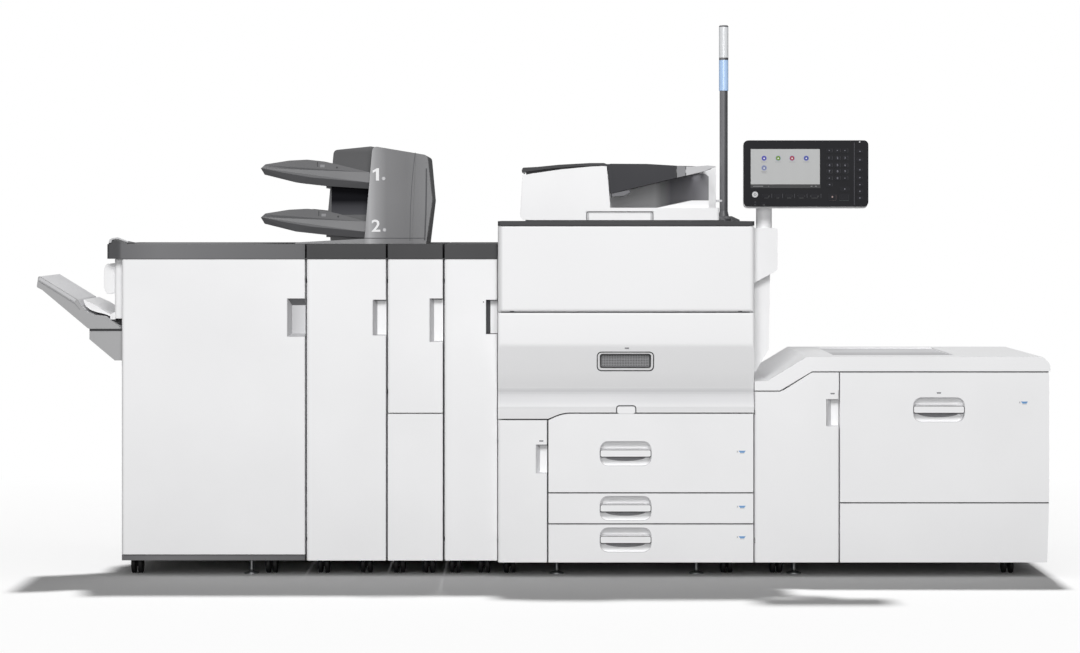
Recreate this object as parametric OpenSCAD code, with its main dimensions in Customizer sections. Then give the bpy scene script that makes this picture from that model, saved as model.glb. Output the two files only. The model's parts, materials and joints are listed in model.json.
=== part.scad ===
// Digital production printer: finisher, folder, inserter and relay modules, a cover
// interposer, the print engine with its document feeder and panel, and a paper feeder.
// Millimetres, +Z up, the front looks along -Y, the origin is on the floor under the middle.

/* [Line-up] */
// Reach of the output tray beyond the finisher
tray_reach = 271; // [240:1:300]
// Width of the finisher
finisher_w = 574; // [540:1:620]
// Width of the folding module
folder_w = 249; // [230:1:280]
// Width of the inserter path module
inserter_w = 173; // [165:1:200]
// Width of the relay module
relay_w = 166; // [155:1:190]
// Width of the print engine
engine_w = 800; // [780:1:840]
// Width of the paper feeder
feeder_w = 924; // [880:1:980]
// Gap between two docked modules
dock_gap = 5; // [3:0.5:8]
// Gap on each side of the engine
engine_gap = 2; // [1:0.5:4]

/* [Depths] */
// Depth of the print engine
engine_d = 880; // [860:1:920]
// Depth of the finisher and path modules
module_d = 730; // [700:1:760]
// Depth of the paper feeder
feeder_d = 720; // [690:1:760]
// Set-back of the module doors behind the engine's front
module_setback = 50; // [40:1:70]
// Set-back of the drawers behind the engine's front
drawer_setback = 25; // [20:1:32]

/* [Heights] */
// Height of the covers' lower edge above the floor
base_z = 44; // [40:1:55]
// Height of the floor plates above the floor
floor_z = 72; // [70:1:80]
// Height of the engine's deck
engine_h = 1110; // [1100:1:1130]
// Height of the modules with their caps
module_h = 1038; // [1030:1:1050]
// Height of the module caps
cap_h = 46; // [40:1:52]
// Height of the paper feeder
feeder_h = 686; // [680:1:700]
// Height of the toner cover with its seam
toner_cover_h = 284; // [270:1:295]
// Seam under the front door, as a share of the engine's height
door_share = 0.4595; // [0.456:0.0005:0.466]
// Share of the drawers' stack that the upper one takes
drawer_1_share = 0.534; // [0.522:0.002:0.544]
// Share of the drawers' stack that the middle one takes
drawer_2_share = 0.208; // [0.202:0.002:0.218]

/* [Doors and drawers] */
// Thickness of a door
door_t = 30; // [28:1:34]
// Gap between a closed door and its cabinet
door_gap = 3; // [2.5:0.5:4]
// Seam between two neighbouring covers
seam = 4; // [3:0.5:5]
// Distance of a hinge pin from the door's outer faces
hinge_inset = 9; // [8:0.5:10]
// Radius of a hinge pin
pin_r = 2; // [1.5:0.25:2.5]
// Thickness of a hinge lug
lug_t = 8; // [6:0.5:10]
// Width of the small left door
waste_door_w = 154; // [145:1:165]
// Width of a drawer handle pocket
handle_w = 162; // [150:1:180]
// Height of a drawer handle pocket
handle_h = 78; // [70:1:82]
// Height of a drawer handle bar
bar_h = 24; // [20:1:28]
// Depth of a finger recess
recess_d = 24; // [18:1:25]
// Wall of a drawer tray
tray_wall = 3; // [2:0.5:4]
// Length of a drawer tray
drawer_l = 500; // [480:1:520]

/* [Wheels and feet] */
// Radius of a caster wheel
wheel_r = 30; // [26:1:31]
// Width of one wheel of a twin caster
wheel_w = 13; // [11:0.5:14]
// Thickness of a caster's centre web
web_t = 8; // [6:0.5:9]
// Distance of the front casters behind the engine's front
caster_setback = 125; // [118:1:150]
// Radius of a levelling foot
foot_r = 23; // [18:1:26]
// Radius of a levelling foot's stem
stem_r = 5; // [4:0.5:6]

/* [Document feeder] */
// Width of the document feeder
adf_w = 626; // [600:1:650]
// Depth of the document feeder
adf_d = 580; // [540:1:620]
// Height of the document feeder above the deck
adf_h = 182; // [170:1:195]
// Thickness of the cover slab
slab_h = 39; // [34:1:44]
// Gap between the deck and the cover slab
adf_gap = 3; // [3:0.5:4]

/* [Signal light] */
// Radius of the pole
pole_r = 13.5; // [12:0.5:16]
// Radius of a lamp
lamp_r = 15.5; // [14:0.5:18]
// Height of one lamp
lamp_h = 101; // [90:1:110]
// Height of the signal light above the engine
pole_h = 646; // [600:1:690]

/* [Operation panel] */
// Width of the panel
panel_w = 388; // [370:1:400]
// Height of the panel
panel_h = 206; // [196:1:216]
// Height of the panel's lower edge above the engine
panel_rise = 46; // [40:1:60]
// Thickness of the front case
case_t = 20; // [16:1:24]
// Thickness of the back shell
back_t = 24; // [20:1:30]

/* [Output tray] */
// Depth of the output tray
tray_d = 380; // [350:1:420]
// Distance of the output tray behind the module doors
tray_setback = 28; // [20:1:40]

/* [Hidden] */
$fn = 48;

// Steps of a rounded corner
arc_steps = 4;
// Longest part of an edge that a rounding may take
arc_reach_share = 0.48;
// Clearance of pins, slides and seats
fit = 0.3;
// Overrun of every cut
cut = 2;
// Roundings of covers
small_r = 4;
cover_r = 8;
wide_r = 14;
// Sheet and panel thickness inside the machine
sheet_t = 12;
skin_t = 10;

// Places along the line-up
line_w = tray_reach + finisher_w + folder_w + inserter_w + relay_w + engine_w + feeder_w
    + 3 * dock_gap + 2 * engine_gap;
finisher_x = tray_reach - line_w / 2;
folder_x = finisher_x + finisher_w + dock_gap;
inserter_x = folder_x + folder_w + dock_gap;
relay_x = inserter_x + inserter_w + dock_gap;
engine_x = relay_x + relay_w + engine_gap;
engine_x1 = engine_x + engine_w;
feeder_x = engine_x1 + engine_gap;
feeder_x1 = feeder_x + feeder_w;

// Places along the depth
front_y = -engine_d / 2;
back_y = engine_d / 2;
module_y = front_y + module_setback;
module_back_y = module_y + module_d;
drawer_y = front_y + drawer_setback;
feeder_back_y = drawer_y + feeder_d;
module_frame_y = module_y + door_t + door_gap;
door_swing_gap = 20;
frame_y = drawer_y + door_t + door_swing_gap;
feeder_frame_y = drawer_y + door_t + door_gap;

// Places along the height
toner_seam_z = engine_h - toner_cover_h;
door_seam_z = engine_h * door_share;
stack_h = door_seam_z - base_z;
drawer_seam_2 = door_seam_z - stack_h * drawer_1_share;
drawer_seam_3 = drawer_seam_2 - stack_h * drawer_2_share;
panel_z = engine_h + panel_rise;
cap_z = module_h - cap_h;
module_door_z1 = cap_z - seam / 2;
deck_t = 14;
deck_z = engine_h - deck_t;

// A corner b of an outline, between a and c, as an arc of radius r
function unit(v) = v / norm(v);
function corner(a, b, c, r) =
    let (u = unit(a - b), v = unit(c - b), half = acos(max(-1, min(1, u * v))) / 2,
        reach = min(r / tan(half), arc_reach_share * min(norm(a - b), norm(c - b))),
        p = b + u * reach, radius = reach * tan(half),
        centre = b + unit(u + v) * radius / sin(half),
        start = atan2(p.y - centre.y, p.x - centre.x),
        sweep = sign(cross(b - a, c - b)) * (180 - 2 * half))
    [for (i = [0:arc_steps])
        centre + radius * [cos(start + sweep * i / arc_steps), sin(start + sweep * i / arc_steps)]];

// An outline with each corner rounded by its own radius, zero leaves it sharp
function rounded(points, radii) =
    let (n = len(points))
    [for (i = [0:n - 1])
        for (p = (is_list(radii) ? radii[i] : radii) <= 0 ? [points[i]]
            : corner(points[(i + n - 1) % n], points[i], points[(i + 1) % n],
                is_list(radii) ? radii[i] : radii)) p];

function rect(x0, x1, y0, y1) = [[x0, y0], [x1, y0], [x1, y1], [x0, y1]];

// Extrusions along an axis: along_x takes (y, z) outlines, along_y takes (x, z) outlines
module along_x(x0, x1) {
    translate([x0, 0, 0]) rotate([90, 0, 90]) linear_extrude(x1 - x0) children();
}
module along_y(y0, y1) {
    translate([0, y1, 0]) rotate([90, 0, 0]) linear_extrude(y1 - y0) children();
}
module along_z(z0, z1) {
    translate([0, 0, z0]) linear_extrude(z1 - z0) children();
}
module block(x0, x1, y0, y1, z0, z1) {
    translate([x0, y0, z0]) cube([x1 - x0, y1 - y0, z1 - z0]);
}
module rod_x(x0, x1, y, z, r) {
    translate([x0, y, z]) rotate([0, 90, 0]) cylinder(h = x1 - x0, r = r);
}
module rod_y(x, y0, y1, z, r) {
    translate([x, y1, z]) rotate([90, 0, 0]) cylinder(h = y1 - y0, r = r);
}
module rod_z(x, y, z0, z1, r) {
    translate([x, y, z0]) cylinder(h = z1 - z0, r = r);
}

// Side-hinged doors turn on a pin near their outer left corner. A lug of the cabinet
// reaches into a notch of the door and holds the pin.
lug_r = hinge_inset / 2;
notch_play = 6;
notch_h = lug_t + notch_play;
hinge_rise = 60;
function lug_levels(z0, z1) = [z0 + hinge_rise, z1 - hinge_rise - notch_h];

module door_notches(x0, y0, z0, z1, depth) {
    for (z = lug_levels(z0, z1))
        block(x0 - cut, x0 + hinge_inset + lug_r + 2 * fit, y0 + hinge_inset - lug_r - 2 * fit,
            y0 + depth + cut, z, z + notch_h);
}
module door_pins(x0, y0, z0, z1) {
    for (z = lug_levels(z0, z1))
        rod_z(x0 + hinge_inset, y0 + hinge_inset, z - cut, z + notch_h + cut, pin_r);
}
module door_lugs(x0, y0, z0, z1, seat_y) {
    for (z = lug_levels(z0, z1)) {
        lug_z = z + (notch_h - lug_t) / 2;
        difference() {
            union() {
                rod_z(x0 + hinge_inset, y0 + hinge_inset, lug_z, lug_z + lug_t, lug_r);
                block(x0 + hinge_inset - lug_r, x0 + hinge_inset + lug_r, y0 + hinge_inset,
                    seat_y + cut, lug_z, lug_z + lug_t);
            }
            rod_z(x0 + hinge_inset, y0 + hinge_inset, lug_z - cut, lug_z + lug_t + cut,
                pin_r + fit);
        }
    }
}

// A finger recess at the right edge of a door, with a slanted inner wall
module edge_recess(x1, y0, z0, z1, width) {
    along_z(z0, z1)
        polygon([[x1 - width, y0 - cut], [x1 + cut, y0 - cut], [x1 + cut, y0 + recess_d],
            [x1 - width + recess_d / 2, y0 + recess_d], [x1 - width, y0 + small_r]]);
}

// A door hinged at its left edge, with an outline in x and z
module side_door(outline, x0, x1, y0, z0, z1, recess) {
    difference() {
        intersection() {
            along_y(y0, y0 + door_t) polygon(outline);
            along_z(z0 - cut, z1 + cut)
                polygon(rounded(rect(x0, x1, y0, y0 + door_t), [hinge_inset, small_r, 0, 0]));
        }
        door_notches(x0, y0, z0, z1, door_t);
        edge_recess(x1, y0, recess[0], recess[1], recess[2]);
    }
    door_pins(x0, y0, z0, z1);
}

// Casters and levelling feet
caster_y = front_y + caster_setback;
rear_caster_y = module_back_y - caster_setback;
caster_shares = [0.07, 0.81];
narrow_caster_shares = [0.2, 0.74];
function spread(x0, width, shares) = [for (s = shares) x0 + s * width];
caster_xs = concat(spread(finisher_x, finisher_w, caster_shares),
    spread(folder_x, folder_w, narrow_caster_shares),
    spread(inserter_x, inserter_w, narrow_caster_shares),
    spread(relay_x, relay_w, narrow_caster_shares),
    spread(engine_x, engine_w, [0.045, 0.9]),
    spread(feeder_x, feeder_w, [0.08, 0.87]));
foot_xs = [finisher_x + 0.7 * finisher_w, engine_x + 0.23 * engine_w,
    engine_x + 0.78 * engine_w, feeder_x + 0.14 * feeder_w];
foot_lead = 20;
foot_trail = 30;
foot_ys = [caster_y - foot_lead, rear_caster_y + foot_trail];

// Print engine

waste_x1 = engine_x + waste_door_w;
drawer_x = waste_x1 + seam;
drawer_x1 = engine_x1 - seam / 2;
inner_x = engine_x + skin_t;
inner_x1 = engine_x1 - skin_t;
inner_back_y = back_y - skin_t - skin_t;
door_left_z = door_seam_z - 20;
slope_x = drawer_x + 45;
slope_r = 110;
front_door_z1 = toner_seam_z - seam / 2;
toner_z = toner_seam_z + seam / 2;
toner_z1 = deck_z - seam / 2;
door_pin_y = drawer_y + cover_r;
door_pin_z = door_seam_z + seam / 2 + cover_r;
toner_pin_y = front_y + cover_r;
toner_pin_z = toner_z + cover_r;
front_lug_xs = [engine_x + 40, engine_x1 - 40 - lug_t];
mid_deck_z = door_seam_z + 6;
mid_deck_z1 = mid_deck_z + sheet_t;
bay_z = toner_seam_z + 34;
bay_z1 = deck_z - 20;
bay_y1 = frame_y + 245;
bay_margin = 60;
rail_w = 12;
rail_h = 6;

// Each drawer: lowest and highest point of its front, then of its tray
drawer_zs = [
    [drawer_seam_2 + seam / 2, door_seam_z - seam / 2, drawer_seam_2 + 14, door_seam_z - 20],
    [drawer_seam_3 + seam / 2, drawer_seam_2 - seam / 2, drawer_seam_3 + 12, drawer_seam_2 - 16],
    [base_z, drawer_seam_3 - seam / 2, floor_z + 24, drawer_seam_3 - 14]];
tray_margin = 30;
tray_x = drawer_x + tray_margin;
tray_x1 = drawer_x1 - tray_margin;
tray_y = drawer_y + door_t;
tray_y1 = tray_y + drawer_l;

// Lugs and notches for the covers that turn on a pin along X
module front_lugs(pin_y, pin_z, seat_y) {
    for (x = front_lug_xs)
        difference() {
            union() {
                rod_x(x, x + lug_t, pin_y, pin_z, lug_r);
                block(x, x + lug_t, pin_y, seat_y + cut, pin_z - lug_r, pin_z + lug_r);
            }
            rod_x(x - cut, x + lug_t + cut, pin_y, pin_z, pin_r + fit);
        }
}
module front_notches(pin_y, pin_z, z0, y1) {
    for (x = front_lug_xs)
        block(x - notch_play / 2, x + lug_t + notch_play / 2, pin_y - lug_r - 2 * fit, y1 + cut,
            z0 - cut, pin_z + lug_r + 2 * fit);
}
module front_pins(pin_y, pin_z) {
    for (x = front_lug_xs)
        rod_x(x - notch_play / 2 - cut, x + lug_t + notch_play / 2 + cut, pin_y, pin_z, pin_r);
}

module foot_bosses(xs) {
    for (x = xs, y = foot_ys) rod_z(x, y, boss_z, floor_z + cut, boss_r);
}
module foot_bores(xs) {
    for (x = xs, y = foot_ys) rod_z(x, y, boss_z - cut, foot_bore_z1, stem_r + fit);
}
boss_r = 12;
boss_z = base_z + 2;
foot_bore_z1 = floor_z + 8;
engine_feet = [foot_xs[1], foot_xs[2]];

module engine_frame() {
    wall_x = drawer_x + small_r;
    color("#8d9196") {
        difference() {
            union() {
                block(inner_x, inner_x1, frame_y, inner_back_y, floor_z, floor_z + sheet_t);
                block(wall_x, wall_x + sheet_t, frame_y, inner_back_y, floor_z, mid_deck_z + cut);
                block(inner_x1 - sheet_t, inner_x1, frame_y, inner_back_y, floor_z,
                    mid_deck_z + cut);
                block(inner_x, inner_x + sheet_t / 2, frame_y, inner_back_y, floor_z,
                    mid_deck_z + cut);
                block(inner_x, inner_x1, inner_back_y - sheet_t, inner_back_y, floor_z,
                    mid_deck_z + cut);
                for (d = drawer_zs) {
                    rail_z1 = d[2] - fit;
                    block(wall_x + sheet_t - cut, tray_x + rail_w, frame_y, inner_back_y,
                        rail_z1 - rail_h, rail_z1);
                    block(tray_x1 - rail_w, inner_x1 - sheet_t + cut, frame_y, inner_back_y,
                        rail_z1 - rail_h, rail_z1);
                }
                block(inner_x, inner_x1, frame_y, inner_back_y, mid_deck_z, deck_z);
                foot_bosses(engine_feet);
            }
            foot_bores(engine_feet);
            block(inner_x + bay_margin, inner_x1 - bay_margin, frame_y - cut, bay_y1, bay_z, bay_z1);
        }
        front_lugs(door_pin_y, door_pin_z, frame_y);
        front_lugs(toner_pin_y, toner_pin_z, frame_y);
        door_lugs(engine_x, drawer_y, base_z, door_left_z - seam, frame_y);
    }
}

// Side and rear covers, the rear one with louvres
module engine_covers() {
    side_y = drawer_y + door_t + 8 * fit;
    louvre_w = 300;
    louvre_h = 6;
    louvre_pitch = 16;
    louvre_count = 9;
    side_top = deck_z;
    color("#e9eaec") {
        difference() {
            block(engine_x, inner_x, side_y, back_y - skin_t + cut, base_z, side_top);
            for (z = lug_levels(base_z, door_left_z - seam))
                block(engine_x + hinge_inset - lug_r - fit, inner_x + cut, side_y - cut,
                    frame_y + 2 * cut, z, z + notch_h);
            block(engine_x - cut, inner_x + cut, side_y - cut, side_y + hinge_inset,
                door_left_z, door_pin_z + wide_r);
        }
        block(inner_x1, engine_x1, side_y, back_y - skin_t + cut, base_z, side_top);
        difference() {
            along_z(base_z, side_top)
                polygon(rounded(rect(engine_x, engine_x1, back_y - skin_t, back_y),
                    [0, 0, cover_r, cover_r]));
            for (x = [engine_x + bay_margin, engine_x1 - bay_margin - louvre_w],
                    i = [0:louvre_count - 1])
                block(x, x + louvre_w, back_y - skin_t - cut, back_y + cut,
                    inlet_z + louvre_w + i * louvre_pitch,
                    inlet_z + louvre_w + i * louvre_pitch + louvre_h);
            block(inlet_x - fit, inlet_x + inlet_w + fit, back_y - skin_t - cut, back_y + cut,
                inlet_z - fit, inlet_z + inlet_h + fit);
        }
        for (z = [floor_z, deck_z - sheet_t])
            block(inner_x - cut, inner_x1 + cut, inner_back_y, back_y - skin_t + cut, z, z + sheet_t);
    }
}
inlet_w = 56;
inlet_h = 34;
inlet_x = engine_x1 - 150;
inlet_z = 130;

module power_inlet() {
    rim = 5;
    pin_pitch = 12;
    color("#26282b") {
        difference() {
            block(inlet_x, inlet_x + inlet_w, back_y - skin_t - skin_t, back_y - fit, inlet_z,
                inlet_z + inlet_h);
            block(inlet_x + rim, inlet_x + inlet_w - rim, back_y - skin_t - rim, back_y + cut,
                inlet_z + rim, inlet_z + inlet_h - rim);
        }
        for (i = [-1:1])
            rod_y(inlet_x + inlet_w / 2 + i * pin_pitch, back_y - skin_t - rim - cut,
                back_y - rim, inlet_z + inlet_h / 2, pin_r);
    }
}

// Dark deck with the seat of the exposure glass and the posts of the feeder's hinge
glass_w = 460;
glass_d = 330;
glass_t = 4;
adf_x = engine_x + 68;
adf_x1 = adf_x + adf_w;
adf_y = front_y + 65;
adf_pin_r = 17;
adf_pin_y = adf_y + adf_d - adf_pin_r;
adf_z = engine_h + adf_gap;
adf_pin_z = adf_z + adf_pin_r;
adf_post_w = 40;
adf_post_xs = [adf_x + 110, adf_x1 - 110 - adf_post_w];
glass_x = adf_x + 90;
glass_y = adf_y + 60;

module deck_cover() {
    color("#4d5053") difference() {
        union() {
            along_z(deck_z, engine_h)
                polygon(rounded(rect(engine_x, engine_x1, front_y, back_y), cover_r));
            for (x = adf_post_xs) {
                rod_x(x, x + adf_post_w, adf_pin_y, adf_pin_z, adf_pin_r - small_r);
                block(x, x + adf_post_w, adf_pin_y - adf_pin_r + small_r,
                    adf_pin_y + adf_pin_r - small_r, engine_h - cut, adf_pin_z);
            }
        }
        block(glass_x, glass_x + glass_w, glass_y, glass_y + glass_d, engine_h - glass_t,
            engine_h + cut);
        for (x = adf_post_xs)
            rod_x(x - cut, x + adf_post_w + cut, adf_pin_y, adf_pin_z, 2 * pin_r + fit);
    }
}

module platen_glass() {
    color("#9fb4b8") block(glass_x + fit, glass_x + glass_w - fit, glass_y + fit,
        glass_y + glass_d - fit, engine_h - glass_t, engine_h);
}

// Panel behind the front door with the release lever and two knobs of the paper path
module inner_panel() {
    panel_t = 14;
    lever_l = 110;
    knob_r = 22;
    lever_z = mid_deck_z + 130;
    color("#b9bdc1") {
        difference() {
            block(inner_x + seam, inner_x1 - seam, frame_y - panel_t, frame_y,
                mid_deck_z1 + seam, toner_seam_z - lug_t);
            for (x = front_lug_xs)
                block(x - seam, x + lug_t + seam, frame_y - panel_t - cut, frame_y + cut,
                    mid_deck_z, door_pin_z + wide_r);
        }
    }
    color("#6c9a6f") {
        along_y(frame_y - 2 * panel_t, frame_y - panel_t + small_r)
            polygon(rounded(rect(engine_x + engine_w / 2 - lever_l / 2,
                engine_x + engine_w / 2 + lever_l / 2, lever_z, lever_z + knob_r), small_r));
        for (x = [engine_x + engine_w / 4, engine_x1 - engine_w / 4])
            rod_y(x, frame_y - 2 * panel_t, frame_y - panel_t + small_r, lever_z, knob_r);
    }
}

// Four bottles lie side by side behind the toner cover
module toner_bottles() {
    bottle_r = 44;
    bottle_l = 210;
    neck_r = 20;
    neck_l = 24;
    pitch = (inner_x1 - inner_x - 2 * bay_margin) / 4;
    colors = ["#2b2c2e", "#b1457f", "#3a93b8", "#d9c34a"];
    for (i = [0:3]) {
        x = inner_x + bay_margin + (i + 0.5) * pitch;
        color(colors[i]) translate([x, frame_y + bottle_l + neck_l, bay_z + bottle_r + fit])
            rotate([90, 0, 0]) rotate_extrude() polygon([[0, 0], [neck_r, 0], [neck_r, neck_l],
                [bottle_r - small_r, neck_l + small_r], [bottle_r, neck_l + wide_r],
                [bottle_r, bottle_l + neck_l - small_r],
                [bottle_r - small_r, bottle_l + neck_l], [0, bottle_l + neck_l]]);
    }
}

// Upper cover in front of the toner bottles, hinged at its lower edge
module toner_cover() {
    cover_t = 32;
    rib_t = 6;
    shell_t = 4;
    color("#f2f3f5") {
        difference() {
            intersection() {
                along_x(engine_x, engine_x1)
                    polygon(rounded(rect(front_y, front_y + cover_t, toner_z, toner_z1),
                        [cover_r, 0, 0, small_r]));
                along_z(toner_z - cut, toner_z1 + cut)
                    polygon(rounded(rect(engine_x, engine_x1, front_y, front_y + cover_t),
                        [wide_r, wide_r, 0, 0]));
            }
            front_notches(toner_pin_y, toner_pin_z, toner_z, front_y + cover_t);
            for (i = [0:2])
                block(engine_x + wide_r + rib_t + i * (engine_w - 2 * wide_r) / 3,
                    engine_x + wide_r - rib_t + (i + 1) * (engine_w - 2 * wide_r) / 3,
                    front_y + shell_t, front_y + cover_t + cut, toner_z + 3 * wide_r,
                    toner_z1 - wide_r);
        }
        front_pins(toner_pin_y, toner_pin_z);
    }
}

// Main front door: flat, then falling back behind the drawers, with a turned-up foot
grip_w = 166;
grip_h = 49;
grip_x = engine_x + 315;
grip_z = toner_seam_z - 178;
grip_pin_z = grip_z + grip_h - small_r;
door_bulge_z = toner_seam_z - 102;
door_dip_z = door_seam_z + 66;
door_dip_y = drawer_y + 13;
door_foot_z = door_pin_z + 10;
door_back_y = drawer_y + door_t - 8;
grip_y = drawer_y - 4;
grip_depth = 20;
grip_plate_t = 6;

module front_door() {
    color("#eceef0") {
        difference() {
            intersection() {
                along_x(engine_x, engine_x1)
                    polygon(rounded([[drawer_y, door_left_z], [door_back_y, door_left_z],
                        [door_back_y, front_door_z1], [front_y, front_door_z1],
                        [front_y, door_bulge_z], [door_dip_y, door_dip_z],
                        [drawer_y, door_foot_z]],
                        [small_r, 0, 0, small_r, 4 * wide_r, 4 * wide_r, wide_r]));
                along_y(front_y - cut, door_back_y + cut)
                    polygon(rounded([[engine_x, door_left_z + seam / 2], [drawer_x - seam / 2,
                        door_left_z + seam / 2], [slope_x, door_seam_z + seam / 2],
                        [engine_x1, door_seam_z + seam / 2], [engine_x1, front_door_z1],
                        [engine_x, front_door_z1]], [0, 0, slope_r, 0, 0, 0]));
                along_z(door_left_z - cut, front_door_z1 + cut)
                    polygon(rounded(rect(engine_x, engine_x1, front_y, door_back_y),
                        [cover_r, cover_r, 0, 0]));
            }
            front_notches(door_pin_y, door_pin_z, door_left_z, door_back_y);
            along_y(front_y - cut, grip_y + grip_depth)
                polygon(rounded(rect(grip_x, grip_x + grip_w, grip_z, grip_z + grip_h), wide_r));
        }
        front_pins(door_pin_y, door_pin_z);
        for (x = [grip_x - cut, grip_x + grip_w - 2 * small_r])
            rod_x(x, x + 2 * small_r + cut, grip_y + grip_plate_t / 2 + cut, grip_pin_z, pin_r);
    }
}

// Pull plate in the door's recess, turning on two stub pins at its upper edge
module front_door_grip() {
    pin_y = grip_y + grip_plate_t / 2 + cut;
    color("#9a9da1") difference() {
        union() {
            along_y(grip_y, grip_y + grip_plate_t)
                polygon(rounded(rect(grip_x + seam, grip_x + grip_w - seam, grip_z + seam,
                    grip_z + grip_h - seam / 2), wide_r - small_r));
            rod_x(grip_x + wide_r, grip_x + grip_w - wide_r, pin_y, grip_pin_z - fit,
                grip_plate_t / 2 + fit);
        }
        for (x = [grip_x - cut, grip_x + grip_w - 3 * small_r])
            rod_x(x, x + 3 * small_r + cut, pin_y, grip_pin_z, pin_r + fit);
    }
}

module waste_door() {
    z1 = door_left_z - seam / 2;
    color("#eff0f2") side_door(rect(engine_x, waste_x1, base_z, z1), engine_x, waste_x1,
        drawer_y, base_z, z1, [door_left_z - 168, door_left_z - 78, 36]);
}

// A drawer front with a handle pocket: outline, span of the pocket, all in x and z
module drawer_front(outline, x0, x1, pocket_x, pocket_z, z0, z1) {
    difference() {
        along_y(drawer_y, drawer_y + door_t) polygon(outline);
        along_y(drawer_y - cut, drawer_y + recess_d)
            polygon(rounded(rect(pocket_x - handle_w / 2, pocket_x + handle_w / 2,
                pocket_z - handle_h / 2, pocket_z + handle_h / 2), handle_h / 3));
    }
}
module engine_drawer_front(i) {
    d = drawer_zs[i];
    outline = i > 0 ? rect(drawer_x, drawer_x1, d[0], d[1])
        : rounded([[drawer_x, d[0]], [drawer_x1, d[0]], [drawer_x1, d[1]], [slope_x, d[1]],
            [drawer_x, door_left_z - seam / 2]], [0, 0, 0, slope_r, 0]);
    color("#f1f2f4")
        drawer_front(outline, drawer_x, drawer_x1, handle_x, handle_zs[i], d[0], d[1]);
}
handle_x = engine_x + 399;
upper_handle_drop = 124;
lower_handle_drop = 48;
handle_zs = [drawer_zs[0][1] - upper_handle_drop, (drawer_zs[1][0] + drawer_zs[1][1]) / 2,
    drawer_zs[2][1] - lower_handle_drop];

// An open tray with side fences, an end fence and rounded front cut-outs for a hand
module paper_tray(x0, x1, y0, y1, z0, z1) {
    fence_share = 0.16;
    fence_t = 4;
    inset = fence_share * (x1 - x0);
    color("#5b5e62") {
        difference() {
            block(x0, x1, y0, y1, z0, z1);
            block(x0 + tray_wall, x1 - tray_wall, y0 + tray_wall, y1 - tray_wall,
                z0 + tray_wall, z1 + cut);
        }
        for (x = [x0 + inset, x1 - inset - fence_t])
            block(x, x + fence_t, y0 + inset, y1 - inset, z0 + tray_wall - cut / 2,
                z1 - 2 * tray_wall);
        block(x0 + 2 * inset, x1 - 2 * inset, y1 - inset - fence_t, y1 - inset,
            z0 + tray_wall - cut / 2, z1 - 2 * tray_wall);
    }
}
module engine_tray(i) {
    paper_tray(tray_x, tray_x1, tray_y, tray_y1, drawer_zs[i][2], drawer_zs[i][3]);
}

// Handle bar across a pocket: a lens-shaped bar that leaves room for fingers behind it
module handle_bar(x, y0, z) {
    bar_t = 10;
    end_r = bar_h / 2;
    half = handle_w / 2 - fit;
    color("#f4f5f7") difference() {
        along_y(y0, y0 + recess_d)
            polygon(rounded(rect(x - half, x + half, z - bar_h / 2, z + bar_h / 2), end_r / 2));
        along_z(z - bar_h, z + bar_h)
            polygon([[x - half + bar_h, y0 + recess_d + cut], [x - half + bar_h, y0 + bar_t],
                [x + half - bar_h, y0 + bar_t], [x + half - bar_h, y0 + recess_d + cut]]);
    }
}
module engine_handle(i) { handle_bar(handle_x, drawer_y, handle_zs[i]); }

// Document feeder on the deck

slab_z1 = adf_z + slab_h;
adf_top_z = engine_h + adf_h;
adf_left_z = adf_top_z - 35;
adf_body_x1 = adf_x + 284;
adf_slab_x = adf_x + 22;
adf_cover_y1 = adf_pin_y - 40;
tray_root_x = adf_body_x1 + seam / 2;
tray_end_x = adf_x1 - 12;
column_x = adf_x1 - 32;
column_y = adf_pin_y - 130;
feed_knuckle_r = 6;
feed_ear_t = 6;
feed_line = [[adf_x + cover_r, adf_left_z - small_r], [adf_body_x1 - wide_r, adf_top_z - cover_r]];
feed_pin_x = feed_line[0].x + feed_knuckle_r;
feed_pin_z = feed_height(feed_pin_x) + feed_knuckle_r + fit;

// Height of the housing's top at a place x
function feed_height(x) = feed_line[0].y
    + (x - feed_line[0].x) * (feed_line[1].y - feed_line[0].y) / (feed_line[1].x - feed_line[0].x);

// Outline of the feeder's left housing in x and z
adf_outline = rounded([[adf_x, adf_z + small_r], [adf_body_x1, adf_z + small_r],
    [adf_body_x1 - small_r, slab_z1], feed_line[1], feed_line[0]], [wide_r, 0, 0, 0, cut]);

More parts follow.
